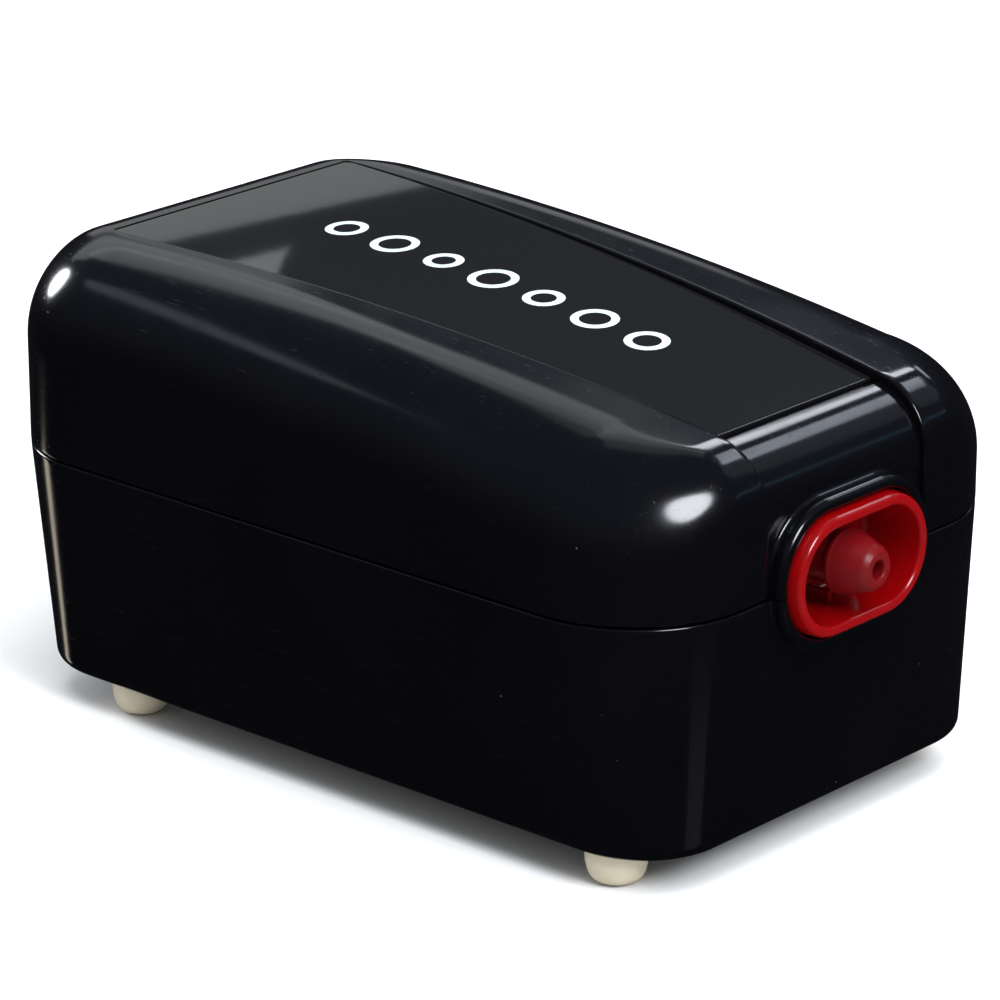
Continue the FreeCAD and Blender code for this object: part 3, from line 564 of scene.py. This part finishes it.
def mouldedAbs(name, look):
    material, tree, output = newMaterial(name)
    spot = addNode(tree, "ShaderNodeTexCoord")
    inPlace = {"Vector": (spot, "Object")}
    haze = addNode(tree, "ShaderNodeTexNoise",
                   {"Scale": 1 / (look["haze"] * mm), "Detail": 4.0, "Roughness": 0.6}, inPlace)
    speck = addNode(tree, "ShaderNodeTexVoronoi", {"Scale": 1 / (look["speck"] * mm), "Randomness": 1.0},
                    inPlace)
    near, far = look["speckSize"]
    dot = addNode(tree, "ShaderNodeMapRange",
                  {"From Min": near, "From Max": far, "To Min": look["speckCover"], "To Max": 0.0},
                  {"Value": (speck, "Distance")})
    scarce = addNode(tree, "ShaderNodeMath", {1: look["speckShare"]}, {0: (haze, "Fac")},
                     operation="GREATER_THAN")
    dust = addNode(tree, "ShaderNodeMath", {}, {0: (dot, "Result"), 1: (scarce, "Value")},
                   operation="MULTIPLY")
    turned = addNode(tree, "ShaderNodeMapping",
                     {"Rotation": look["hairTurn"], "Scale": (1.0, look["hairLong"], 1.0)}, inPlace)
    hair = addNode(tree, "ShaderNodeTexNoise", {"Scale": 1 / (look["hair"] * mm), "Detail": 0.0},
                   {"Vector": (turned, "Vector")})
    low, high = look["hairRare"]
    line = addNode(tree, "ShaderNodeMapRange",
                   {"From Min": low, "From Max": high, "To Min": 0.0, "To Max": 1.0},
                   {"Value": (hair, "Fac")})
    tint = addNode(tree, "ShaderNodeMix", {6: srgb(look["colour"]), 7: srgb(look["worn"])},
                   {0: (haze, "Fac")}, data_type="RGBA")
    dusty = addNode(tree, "ShaderNodeMix", {7: srgb(look["dust"])}, {0: (dust, "Value"), 6: (tint, 2)},
                    data_type="RGBA")
    clean, handled = look["rough"]
    gloss = addNode(tree, "ShaderNodeMapRange",
                    {"From Min": 0.35, "From Max": 0.75, "To Min": clean, "To Max": handled},
                    {"Value": (haze, "Fac")})
    rough = addNode(tree, "ShaderNodeMix", {3: look["hairRough"]},
                    {0: (line, "Result"), 2: (gloss, "Result")})
    slow = addNode(tree, "ShaderNodeTexNoise", {"Scale": 1 / (look["sink"] * mm), "Detail": 1.0}, inPlace)
    wave = addNode(tree, "ShaderNodeBump", {"Strength": 0.35, "Distance": look["sinkDeep"] * mm},
                   {"Height": (slow, "Fac")})
    groove = addNode(tree, "ShaderNodeBump", {"Strength": 0.25, "Distance": look["hairDeep"] * mm},
                     {"Height": (line, "Result"), "Normal": (wave, "Normal")}, invert=True)
    shader = addNode(tree, "ShaderNodeBsdfPrincipled", {"IOR": look["ior"]},
                     {"Base Color": (dusty, 2), "Roughness": (rough, 0), "Normal": (groove, "Normal")})
    tree.links.new(shader.outputs["BSDF"], output.inputs["Surface"])
    return material


blackAbs = mouldedAbs("moulded black ABS", absLook)

# Polycarbonate plate printed on its back: dead flat gloss over a dark grey print, cleaner and greyer than
# the case
labelPlastic = mottled("glossy printed polycarbonate", {
    "colour": "#131313", "shade": "#151515", "rough": (0.03, 0.05), "patch": 30, "grain": 6,
    "relief": 0.12, "depth": 0.02, "shader": {"IOR": 1.58},
})
# Screen ink, cured: an opaque cool white film, satin
labelInk = mottled("cured screen ink", {
    "colour": "#D8E8EA", "shade": "#C2D6DA", "rough": (0.3, 0.42), "patch": 4, "grain": 0.6,
    "relief": 0.1, "depth": 0.01, "shader": {"IOR": 1.5},
})
# Injection-moulded polystyrene, red: saturated, bright gloss with light going a little way in at the edges
redStyrene = mottled("moulded red polystyrene", {
    "colour": "#820305", "shade": "#740204", "rough": (0.12, 0.20), "patch": 6, "grain": 0.8,
    "relief": 0.12, "depth": 0.015,
    "shader": {"IOR": 1.59, "Subsurface Weight": 0.08, "Subsurface Radius": (1.0, 0.2, 0.15),
               "Subsurface Scale": 0.0008},
})
# Moulded soft PVC, red, cloudy: satin and a little dull from its plasticiser, light bleeds through the
# thin cone
redVinyl = mottled("moulded soft red PVC", {
    "colour": "#6C080C", "shade": "#5C060A", "rough": (0.30, 0.42), "patch": 3, "grain": 0.5,
    "relief": 0.2, "depth": 0.03,
    "shader": {"IOR": 1.52, "Specular IOR Level": 0.3, "Subsurface Weight": 0.25,
               "Subsurface Radius": (1.0, 0.28, 0.22), "Subsurface Scale": 0.002},
})
# Moulded silicone rubber, natural: milky beige, waxy satin, light goes well into it
footSilicone = mottled("moulded natural silicone rubber", {
    "colour": "#CFC6B2", "shade": "#BDB39D", "rough": (0.35, 0.5), "patch": 3, "grain": 0.5,
    "relief": 0.2, "depth": 0.03,
    "shader": {"IOR": 1.43, "Subsurface Weight": 0.7, "Subsurface Radius": (1.0, 0.85, 0.6),
               "Subsurface Scale": 0.002},
})
# Vulcanised black rubber: dull, faintly speckled
blackRubber = mottled("vulcanised black rubber", {
    "colour": "#161616", "shade": "#1E1E1D", "rough": (0.55, 0.75), "patch": 2, "grain": 0.25,
    "relief": 0.35, "depth": 0.04, "shader": {"IOR": 1.52},
})
# Bright zinc-plated pressed steel: pale grey metal, a little cloudy
zincSteel = mottled("zinc-plated pressed steel", {
    "colour": "#C4C5C2", "shade": "#A9ABAA", "rough": (0.25, 0.42), "patch": 3, "grain": 0.3,
    "relief": 0.15, "depth": 0.02, "shader": {"Metallic": 1.0},
})
# Sintered ferrite: near-black ceramic with a fine dry grain
ferrite = mottled("sintered ferrite", {
    "colour": "#3A3A3D", "shade": "#2C2C2F", "rough": (0.5, 0.65), "patch": 2, "grain": 0.2,
    "relief": 0.3, "depth": 0.03, "shader": {"IOR": 2.2},
})
# Moulded grey ABS, textured tool: even and dull
greyAbs = mottled("moulded grey ABS", {
    "colour": "#8C8F91", "shade": "#808385", "rough": (0.42, 0.55), "patch": 8, "grain": 0.3,
    "relief": 0.2, "depth": 0.02, "shader": {"IOR": 1.53},
})
# Moulded nylon, natural: milky off-white, waxy
naturalNylon = mottled("moulded natural nylon", {
    "colour": "#E2DFD3", "shade": "#D3CFBF", "rough": (0.35, 0.48), "patch": 5, "grain": 0.4,
    "relief": 0.12, "depth": 0.02,
    "shader": {"IOR": 1.53, "Subsurface Weight": 0.3, "Subsurface Scale": 0.001},
})
# Polyester film tape, amber: smooth film over the wire's ridges
amberTape = mottled("amber polyester tape", {
    "colour": "#C89A2E", "shade": "#B38521", "rough": (0.2, 0.34), "patch": 5, "grain": 0.5,
    "relief": 0.3, "depth": 0.03, "shader": {"IOR": 1.6},
})
# Tinned brass pin: pale yellow metal, soft shine
tinnedBrass = mottled("tinned brass", {
    "colour": "#D9CFA6", "shade": "#C7BB8E", "rough": (0.22, 0.35), "patch": 1, "grain": 0.2,
    "relief": 0.1, "depth": 0.01, "shader": {"Metallic": 1.0},
})
# Pressed wool felt: soft grey-white, matted fibres
woolFelt = mottled("pressed wool felt", {
    "colour": "#DCDAD3", "shade": "#B9B6AC", "rough": (0.85, 0.98), "patch": 1.2, "grain": 0.18,
    "relief": 0.9, "depth": 0.12, "shader": {"IOR": 1.45, "Sheen Weight": 0.3},
})
# Extruded clear soft PVC hose: milky clear, wet gloss
clearVinyl = mottled("extruded clear soft PVC", {
    "colour": "#DDE4E0", "shade": "#CDD6D1", "rough": (0.12, 0.22), "patch": 6, "grain": 1.0,
    "relief": 0.1, "depth": 0.02, "shader": {"IOR": 1.53, "Transmission Weight": 0.6},
})


def woundOrStacked(name, look):
    # a ridged metal finish: bands of one real pitch along one axis raise the surface and give its low part
    # the darker colour. A wave texture's bands are 2 pi / (20 * scale) apart, so scale = 0.314 / pitch; pitch
    # and depth are in mm
    material, tree, output = newMaterial(name)
    spot = addNode(tree, "ShaderNodeTexCoord")
    scale = 0.314 / (look["pitch"] * mm)
    bands = addNode(tree, "ShaderNodeTexWave", {"Scale": scale, "Distortion": 0.4, "Detail": 1.0},
                    {"Vector": (spot, "Object")}, bands_direction=look["axis"])
    # the low part of each band takes the darker colour: painted shade in the grooves between the copper's
    # turns, the real dark joint between the steel's sheets
    tint = addNode(tree, "ShaderNodeMix", {6: srgb(look["shade"]), 7: srgb(look["colour"])},
                   {0: (bands, "Fac")}, data_type="RGBA")
    bump = addNode(tree, "ShaderNodeBump", {"Strength": 0.7, "Distance": look["depth"] * mm},
                   {"Height": (bands, "Fac")})
    shader = addNode(tree, "ShaderNodeBsdfPrincipled", {"Metallic": 1.0, "Roughness": look["rough"]},
                     {"Base Color": (tint, 2), "Normal": (bump, "Normal")})
    tree.links.new(shader.outputs["BSDF"], output.inputs["Surface"])
    return material


# Enamelled copper wire, 0.25 mm, layer-wound: fine shiny orange ridges, one for every second turn, with
# painted shade in the grooves between them
copperWire = woundOrStacked("layer-wound enamelled copper", {
    "colour": "#C26A34", "shade": "#7A3514", "pitch": 0.5, "axis": "Y", "depth": 0.06, "rough": 0.3,
})
# Punched silicon steel sheets, 0.5 mm, stacked: dark grey with a line at every sheet
lamination = woundOrStacked("stacked silicon steel sheets", {
    "colour": "#83868A", "shade": "#3C3E42", "pitch": 0.5, "axis": "Z", "depth": 0.05, "rough": 0.42,
})

print("finishes made")

lid = buildObject("lid", lidSheets())


def outletCutter():
    # the oval hole that the cup sits in, as a plug from before the front wall to behind it
    o, c = outletShape, caseShape
    radius = o["cupHalf"][1] + o["holeGap"]
    flat = o["cupHalf"][0] - o["cupHalf"][1]
    share = np.linspace(0, 1, 120, endpoint=False)
    before, behind = c["front"] - 5, c["front"] + 8
    rings = ovalRings([(radius, before), (radius, behind)], flat, c["outlet"], share)
    return [(rings, True)], [rings[0], rings[1]]


carve(lid, buildObject("lidCutter", *outletCutter()))
place(lid, blackAbs, "root", "case_black", "upper_shell")
print("lid built")

tub = buildObject("tub", *tubSheets())

# "top" heights are where a hole from below ends
tubHoles = {
    "counterbore": 3.0, "counterboreTop": 11, "footHole": 1.62,
    "filter": (16.0, 20.0), "filterRecess": 11.5, "filterHole": 9.0, "filterLedge": 5.6,
    "gland": (16.0, 17.2), "glandHole": 4.05, "glandFrom": 46, "glandTo": 60,
    "through": 12,           # a height above the floor's inside
    "feet": [(-26.5, -40.0), (26.5, -40.0), (-26.5, 37.0), (26.5, 37.0)],
}


def plug(radius, low, high, **way):
    # a cylinder cutter along its axis from low to high
    return spun([(0, low), (radius, low), (radius, high), (0, high)], **way), True


def tubCutter():
    # the outlet's hole, the case screws' counterbores, the feet's holes, the filter's stepped hole, the
    # grommet's
    h = tubHoles
    sheets, caps = outletCutter()
    for x, y in caseShape["screws"]:
        sheets.append(plug(h["counterbore"], 0, h["counterboreTop"], centre=(x, y, 0)))
    for x, y in h["feet"]:
        sheets.append(plug(h["footHole"], 1, h["through"], centre=(x, y, 0), steps=40))
    x, y = h["filter"]
    stepped = [(0, 2), (h["filterRecess"], 2), (h["filterRecess"], h["filterLedge"]),
               (h["filterHole"], h["filterLedge"]), (h["filterHole"], h["through"]), (0, h["through"])]
    sheets.append((spun(stepped, (x, y, 0), steps=96), True))
    x, z = h["gland"]
    sheets.append(plug(h["glandHole"], h["glandFrom"], h["glandTo"], centre=(x, 0, z), along="y"))
    return sheets, caps


carve(tub, buildObject("tubCutter", *tubCutter()))
place(tub, blackAbs, "root", "case_black", "lower_shell")
print("tub built")

for name, upper in (("bezelUpper", True), ("bezelLower", False)):
    sheets, caps = bezelSheets(upper)
    place(buildObject(name, sheets, caps), blackAbs, "root", "case_black",
          "upper_shell" if upper else "lower_shell")

# "foot" is how far the boss starts above the underside, "postTop" how far the post ends below the crown
bossShape = {
    "boss": 4.5, "bore": 1.6, "seat": 19.2, "counterbore": 3.0, "foot": 1.2,
    "post": 3.2, "postBore": 1.5, "postDepth": 12, "postTop": 3, "crownInset": 2.0, "seamGap": 0.3,
}


def bossSheets():
    # screw bosses standing in the tub: a counterbored tube each
    b, c = bossShape, caseShape
    low, top = c["foot"] + b["foot"], c["seam"] - b["seamGap"]
    profile = [(b["counterbore"], low), (b["boss"], low), (b["boss"], top), (b["bore"], top),
               (b["bore"], b["seat"]), (b["counterbore"], b["seat"]), (b["counterbore"], low)]
    return [(spun(profile, (x, y, 0), steps=48), True) for x, y in c["screws"]]


def postSheets():
    # screw posts hanging from the lid's crown: a blind tube each
    b, c = bossShape, caseShape
    low = c["seam"] + b["seamGap"]
    end = low + b["postDepth"]
    crown = crownCurve(lidShape["crown"], b["crownInset"])
    sheets = []
    for x, y in c["screws"]:
        top = float(crown(y)[0]) - b["postTop"]
        profile = [(0, end), (b["postBore"], end), (b["postBore"], low), (b["post"], low), (b["post"], top),
                   (0, top)]
        sheets.append((spun(profile, (x, y, 0), steps=48), True))
    return sheets


place(buildObject("screwBosses", bossSheets()), blackAbs, "root", "case_black", "lower_shell")
place(buildObject("screwPosts", postSheets()), blackAbs, "root", "case_black", "upper_shell")

labelShape = {"gap": 0.06, "thick": 0.48, "edge": 0.09, "mesh": {"across": 22, "along": 92}}


def labelSheets():
    # the plate's top is the panel's crown, x = half width * u, and its underside the same surface lower
    # down; its outline is the pocket's, drawn in by the gap
    s = labelShape
    y0 = caseShape["front"] + lidShape["endBall"][0] + s["gap"]
    y1 = lidShape["panelBack"] - s["gap"]
    y = np.linspace(y0, y1, s["mesh"]["along"])[:, None]
    half = panelHalf(y) - s["gap"]
    across = np.linspace(-1, 1, s["mesh"]["across"])[None, :]
    height = crownCurve(lidShape["panel"])(y)[0] + 0 * across
    top = np.stack([half * across, y + 0 * across, height], -1)
    under = top - np.array([0, 0, s["thick"]])
    rims = [(top[0], under[0]), (top[-1], under[-1]), (top[:, 0], under[:, 0]), (top[:, -1], under[:, -1])]
    return [(top, False), (under, False)] + [(np.stack(pair, 1), False) for pair in rims]


label = place(buildObject("labelPlate", labelSheets()), labelPlastic, "root", "label_black", "label_plate")
rounding = label.modifiers.new("edge", "BEVEL")
rounding.width = labelShape["edge"] * mm
rounding.segments = 3
rounding.limit_method = "ANGLE"
rounding.angle_limit = math.radians(50)
rounding.harden_normals = True

# a row of seven plain rings stands where the maker's lettering would be
ringRow = {
    "from": 26.5, "to": -21.5, "sizes": (3.0, 3.4, 2.8, 3.5, 2.9, 3.3, 3.1),
    "line": 1.15, "film": 0.04, "squash": 0.8,       # film: the ink's thickness; squash: length over width
}


def ringSheets():
    # each mark is a thin ring of ink laid on the panel's crown: a film section carried round a circle
    m = ringRow
    crown = crownCurve(lidShape["panel"])
    angle = np.linspace(0, 2 * np.pi, 72, endpoint=False)[None, :]
    lift = m["film"] * np.array([-1.2, 0.6, 1.0, 1.0, 0.6, -1.2, -1.2])[:, None]
    sheets = []
    for share, size in zip(np.linspace(0, 1, len(m["sizes"])), m["sizes"]):
        yc = m["from"] + (m["to"] - m["from"]) * share
        low = size - m["line"]
        r = np.array([size, size, size - 0.05, low + 0.05, low, low, size])[:, None]
        x, y = r * np.cos(angle), yc + m["squash"] * r * np.sin(angle)
        sheets.append((np.stack([x, y, crown(y)[0] + lift], -1), True))
    return sheets


place(buildObject("ringPrint", ringSheets()), labelInk, "root", "label_black")
print("label built")

place(buildObject("outletCup", cupSheets()), redStyrene, "root", "outlet_red", "outlet_cup")

ribShape = {"reach": 3.0, "half": 0.4, "side": (4.4, 6.6), "rise": (4.2, 5.7), "sunk": 0.3}


def ribSheets():
    # four ribs round the nozzle, their feet a little way into the cup's floor
    r, c, o = ribShape, caseShape, outletShape
    y1 = c["front"] + o["cupDepth"] + r["sunk"]
    y0 = y1 - r["reach"] - r["sunk"]
    z = c["outlet"]
    bars = []
    for way in (-1, 1):
        x0, x1 = sorted((way * r["side"][0], way * r["side"][1]))
        bars.append(ribSheet(x0, x1, z - r["half"], z + r["half"], y0, y1))
        z0, z1 = sorted((z + way * r["rise"][0], z + way * r["rise"][1]))
        bars.append(ribSheet(-r["half"], r["half"], z0, z1, y0, y1))
    return bars, [grid[-1] for grid, _ in bars]


place(buildObject("cupRibs", *ribSheets()), redStyrene, "root", "outlet_red", "outlet_cup")


# "reach" is how far the tip stands before the front face
nozzleShape = {
    "reach": 4.5, "base": 4.0, "tip": 2.05, "bore": 1.1, "boreStart": 8.0,
    "stem": 3.2, "collar": 4.5, "collarThick": 1.0, "spigot": 2.3, "spigotLong": 6.2,
}


def nozzleSheets():
    # cone with a blunt rounded tip and a small rolled edge at its base, then the stem, collar and hose spigot
    n, o, c = nozzleShape, outletShape, caseShape
    tip, behind, bore = -n["reach"], o["cupDepth"] + o["floorThick"], n["bore"]
    end = behind + n["spigotLong"]
    corners = [
        (bore, n["boreStart"]), (bore, tip), (n["tip"], tip), (n["tip"] + 0.67, tip + 0.65),
        (n["tip"] + 1.22, tip + 2.3), (n["base"] - 0.12, -0.2), (n["base"], 0.05), (n["base"] - 0.05, 0.5),
        (n["stem"], 0.75), (n["stem"], behind), (n["collar"], behind),
        (n["collar"], behind + n["collarThick"]), (n["spigot"], behind + n["collarThick"]),
        (n["spigot"], end), (bore, end), (bore, n["boreStart"]),
    ]
    radii = [0.28, 0.35, 1.4, 3.0, 0.1, 0.16, 0.16, 0.1, 0.0, 0.1, 0.1, 0.0, 0.15, 0.0]
    return [(spun(roundedProfile(corners, radii, 7), (0, c["front"], c["outlet"]), "y", 96), True)]


place(buildObject("nozzle", nozzleSheets()), redVinyl, "root", "nozzle_red", "outlet_nozzle")

footShape = {
    "radius": 3.7, "pad": 1.6, "height": 4.4, "stem": 1.58, "barb": 2.6, "barbTip": 1.2, "barbLong": 1.6,
    "floor": 6.8,            # top of the case's floor, which the barb sits on
}


def footSheets(x, y):
    # a soft dome with a small flat pad, its stem through the case floor and the barb above it
    f = footShape
    h, r, top = f["height"], f["radius"], f["floor"] + f["barbLong"]
    dome = roundedProfile(
        [(0, 0), (f["pad"], 0), (0.86 * r, 0.1 * h), (r, 0.62 * h), (r, h), (f["stem"], h),
         (f["stem"], f["floor"]), (f["barb"], f["floor"]), (f["barbTip"], top), (0, top)],
        [1.2, 1.9, 3.0, 0.25, 0.0, 0.0, 0.15, 0.2], 9)
    return [(spun(dome, (x, y, 0), steps=64), True)]


for where, (x, y) in zip(("front_left", "front_right", "back_left", "back_right"), tubHoles["feet"]):
    foot = buildObject("softFoot_" + where, footSheets(x, y))
    place(foot, footSilicone, "root", "foot_rubber", "foot_" + where)
print("outlet and feet built")

# the pieces that stay as they were designed get a finish each
kept = {
    blackAbs: ["filter_cover"],
    blackRubber: ["cord_gland", "damping_pad", "diaphragm", "valve_gasket", "inlet_flap", "outlet_flap"],
    zincSteel: ["case_screws", "chassis_screws", "core_bracket", "pivot_bracket", "pivot_pin", "armature_arm",
                "magnet_cup", "diaphragm_washers", "diaphragm_screw", "head_screws"],
    woolFelt: ["filter_pad"],
    lamination: ["core_stack"],
    naturalNylon: ["coil_bobbin", "pivot_bush"],
    copperWire: ["coil_winding"],
    amberTape: ["winding_tape"],
    tinnedBrass: ["coil_pins"],
    ferrite: ["armature_magnet"],
    greyAbs: ["clamp_ring", "valve_body", "valve_cover"],
    clearVinyl: ["air_hose"],
}
for material, names in kept.items():
    for name in names:
        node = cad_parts[name]
        node.data.materials.clear()
        node.data.materials.append(material)

stageLook = {
    "floor": "#F2F2F0", "size": 4.0, "lampAim": 0.03,
    "cameraAim": (-0.000714, 0.000801, 0.029226), "azimuth": -48.256, "elevation": 19.739, "distance": 0.5944,
    "lens": 177.18,
}

# name: direction from the pump in degrees (0 in front of the nozzle, 90 at +X, then height), distance in
# metres, size across and up in metres, brightness, colour, and whether the gloss shows it. The low ones stand
# under the floor and are seen only in the gloss, as a bright floor would be
lamps = {
    "keySoftbox": (-20, 72, 1.6, (1.6, 1.2), 5.0, "#F7F9FF", False),
    "frontSpot": (-12, 39, 1.2, (0.46, 0.50), 15.0, "#F4F8FF", True),
    "backSpot": (-179, 19, 1.2, (0.32, 0.36), 15.0, "#F4F8FF", True),
    "shoulderPanel": (143, 40, 1.6, (1.0, 0.40), 0.9, "#E6EEF2", True),
    "bandPanel": (150, 28, 1.6, (0.85, 0.36), 0.8, "#E4ECEC", True),
    "cornerPanel": (124, 51, 1.6, (0.8, 0.26), 0.7, "#E6EEF2", True),
    "cornerGlow": (121, 62, 1.6, (0.8, 0.34), 0.3, "#E6EEF2", True),
    "hazePanel": (136, 14, 2.0, (0.9, 0.34), 0.55, "#EDEFEE", True),
    "edgeStrip": (113, 36.6, 1.5, (0.28, 0.18), 6.5, "#F2F6FF", True),
    "edgeStripLow": (85, 42, 1.5, (0.36, 0.12), 4.4, "#DCE6F4", True),
    "sidePanel": (68, 36, 1.6, (0.5, 0.5), 0.22, "#DFE8F2", True),
    "farPanel": (103, 25, 1.6, (0.36, 0.22), 2.2, "#DFE8F2", True),
    "blueStrip": (48, 17, 1.5, (0.5, 0.05), 1.2, "#6F9FC4", True),
    "seamPanel": (-152, 44, 1.5, (0.5, 0.12), 0.9, "#DDE4F2", True),
    "lowFront": (9, -31, 0.6, (0.17, 0.12), 0.16, "#E8EEFF", True),
    "lowBack": (-170, -25, 0.6, (0.07, 0.16), 2.4, "#FFF3DD", True),
}


def heading(azimuth, height):
    a, e = math.radians(azimuth), math.radians(height)
    return Vector((math.sin(a) * math.cos(e), -math.cos(a) * math.cos(e), math.sin(e)))


def aimed(thing, where, target):
    thing.location = where
    thing.rotation_mode = "QUATERNION"
    thing.rotation_quaternion = (Vector(target) - Vector(where)).to_track_quat("-Z", "Y")


def buildStage():
    s = stageLook
    half = s["size"] / 2
    line = np.linspace(-half, half, 9)
    x, y = np.meshgrid(line, line, indexing="ij")
    grid = np.stack([x, y, 0 * x], -1) / mm
    floor = buildObject("floor", [(grid, False)])
    floor.data.materials.append(mottled("matt studio card", {
        "colour": s["floor"], "shade": "#EFEFED", "rough": (0.9, 0.95), "patch": 300, "grain": 4,
        "relief": 0.02, "depth": 0.05, "shader": {"Specular IOR Level": 0.1},
    }))
    floor.visible_glossy = False                     # the dark room, not the card, shows in the gloss
    middle = Vector((0, 0, s["lampAim"]))
    for name, (azimuth, height, distance, size, brightness, colour, shown) in lamps.items():
        data = bpy.data.lights.new(name, "AREA")
        data.shape = "ELLIPSE" if "Spot" in name else "RECTANGLE"
        data.size, data.size_y = size
        data.energy = math.pi * size[0] * size[1] * brightness
        data.color = srgb(colour)[:3]
        lamp = bpy.data.objects.new(name, data)
        bpy.context.scene.collection.objects.link(lamp)
        aimed(lamp, middle + heading(azimuth, height) * distance, middle)
        lamp.visible_glossy = shown
    data = bpy.data.cameras.new("camera")
    data.lens, data.sensor_width = s["lens"], 36.0
    camera = bpy.data.objects.new("camera", data)
    bpy.context.scene.collection.objects.link(camera)
    aim = Vector(s["cameraAim"])
    aimed(camera, aim + heading(s["azimuth"], s["elevation"]) * s["distance"], aim)
    bpy.context.scene.camera = camera


roomLook = {"low": "#1B1C21", "high": "#505562", "fill": "#F4F6FA", "fillStrength": 0.55}


def buildWorld():
    # a dim cool room seen in the gloss, brighter above; an even pale fill for everything matt
    world = bpy.data.worlds.new("studio")
    bpy.context.scene.world = world
    world.use_nodes = True
    tree = world.node_tree
    tree.nodes.clear()
    spot = addNode(tree, "ShaderNodeTexCoord")
    apart = addNode(tree, "ShaderNodeSeparateXYZ", {}, {"Vector": (spot, "Generated")})
    ramp = addNode(tree, "ShaderNodeMapRange",
                   {"From Min": -0.05, "From Max": 0.75, "To Min": 0.0, "To Max": 1.0},
                   {"Value": (apart, "Z")}, interpolation_type="SMOOTHSTEP")
    room = addNode(tree, "ShaderNodeMix", {6: srgb(roomLook["low"]), 7: srgb(roomLook["high"])},
                   {0: (ramp, "Result")}, data_type="RGBA")
    ray = addNode(tree, "ShaderNodeLightPath")
    glossy = addNode(tree, "ShaderNodeBackground", {"Strength": 1.0}, {"Color": (room, 2)})
    fill = addNode(tree, "ShaderNodeBackground",
                   {"Color": srgb(roomLook["fill"]), "Strength": roomLook["fillStrength"]})
    mix = addNode(tree, "ShaderNodeMixShader", {}, {0: (ray, "Is Glossy Ray"), 1: (fill, 0), 2: (glossy, 0)})
    addNode(tree, "ShaderNodeOutputWorld", {}, {"Surface": (mix, 0)})


buildStage()
buildWorld()
bpy.context.scene.view_settings.view_transform = "Standard"
print("stage set")
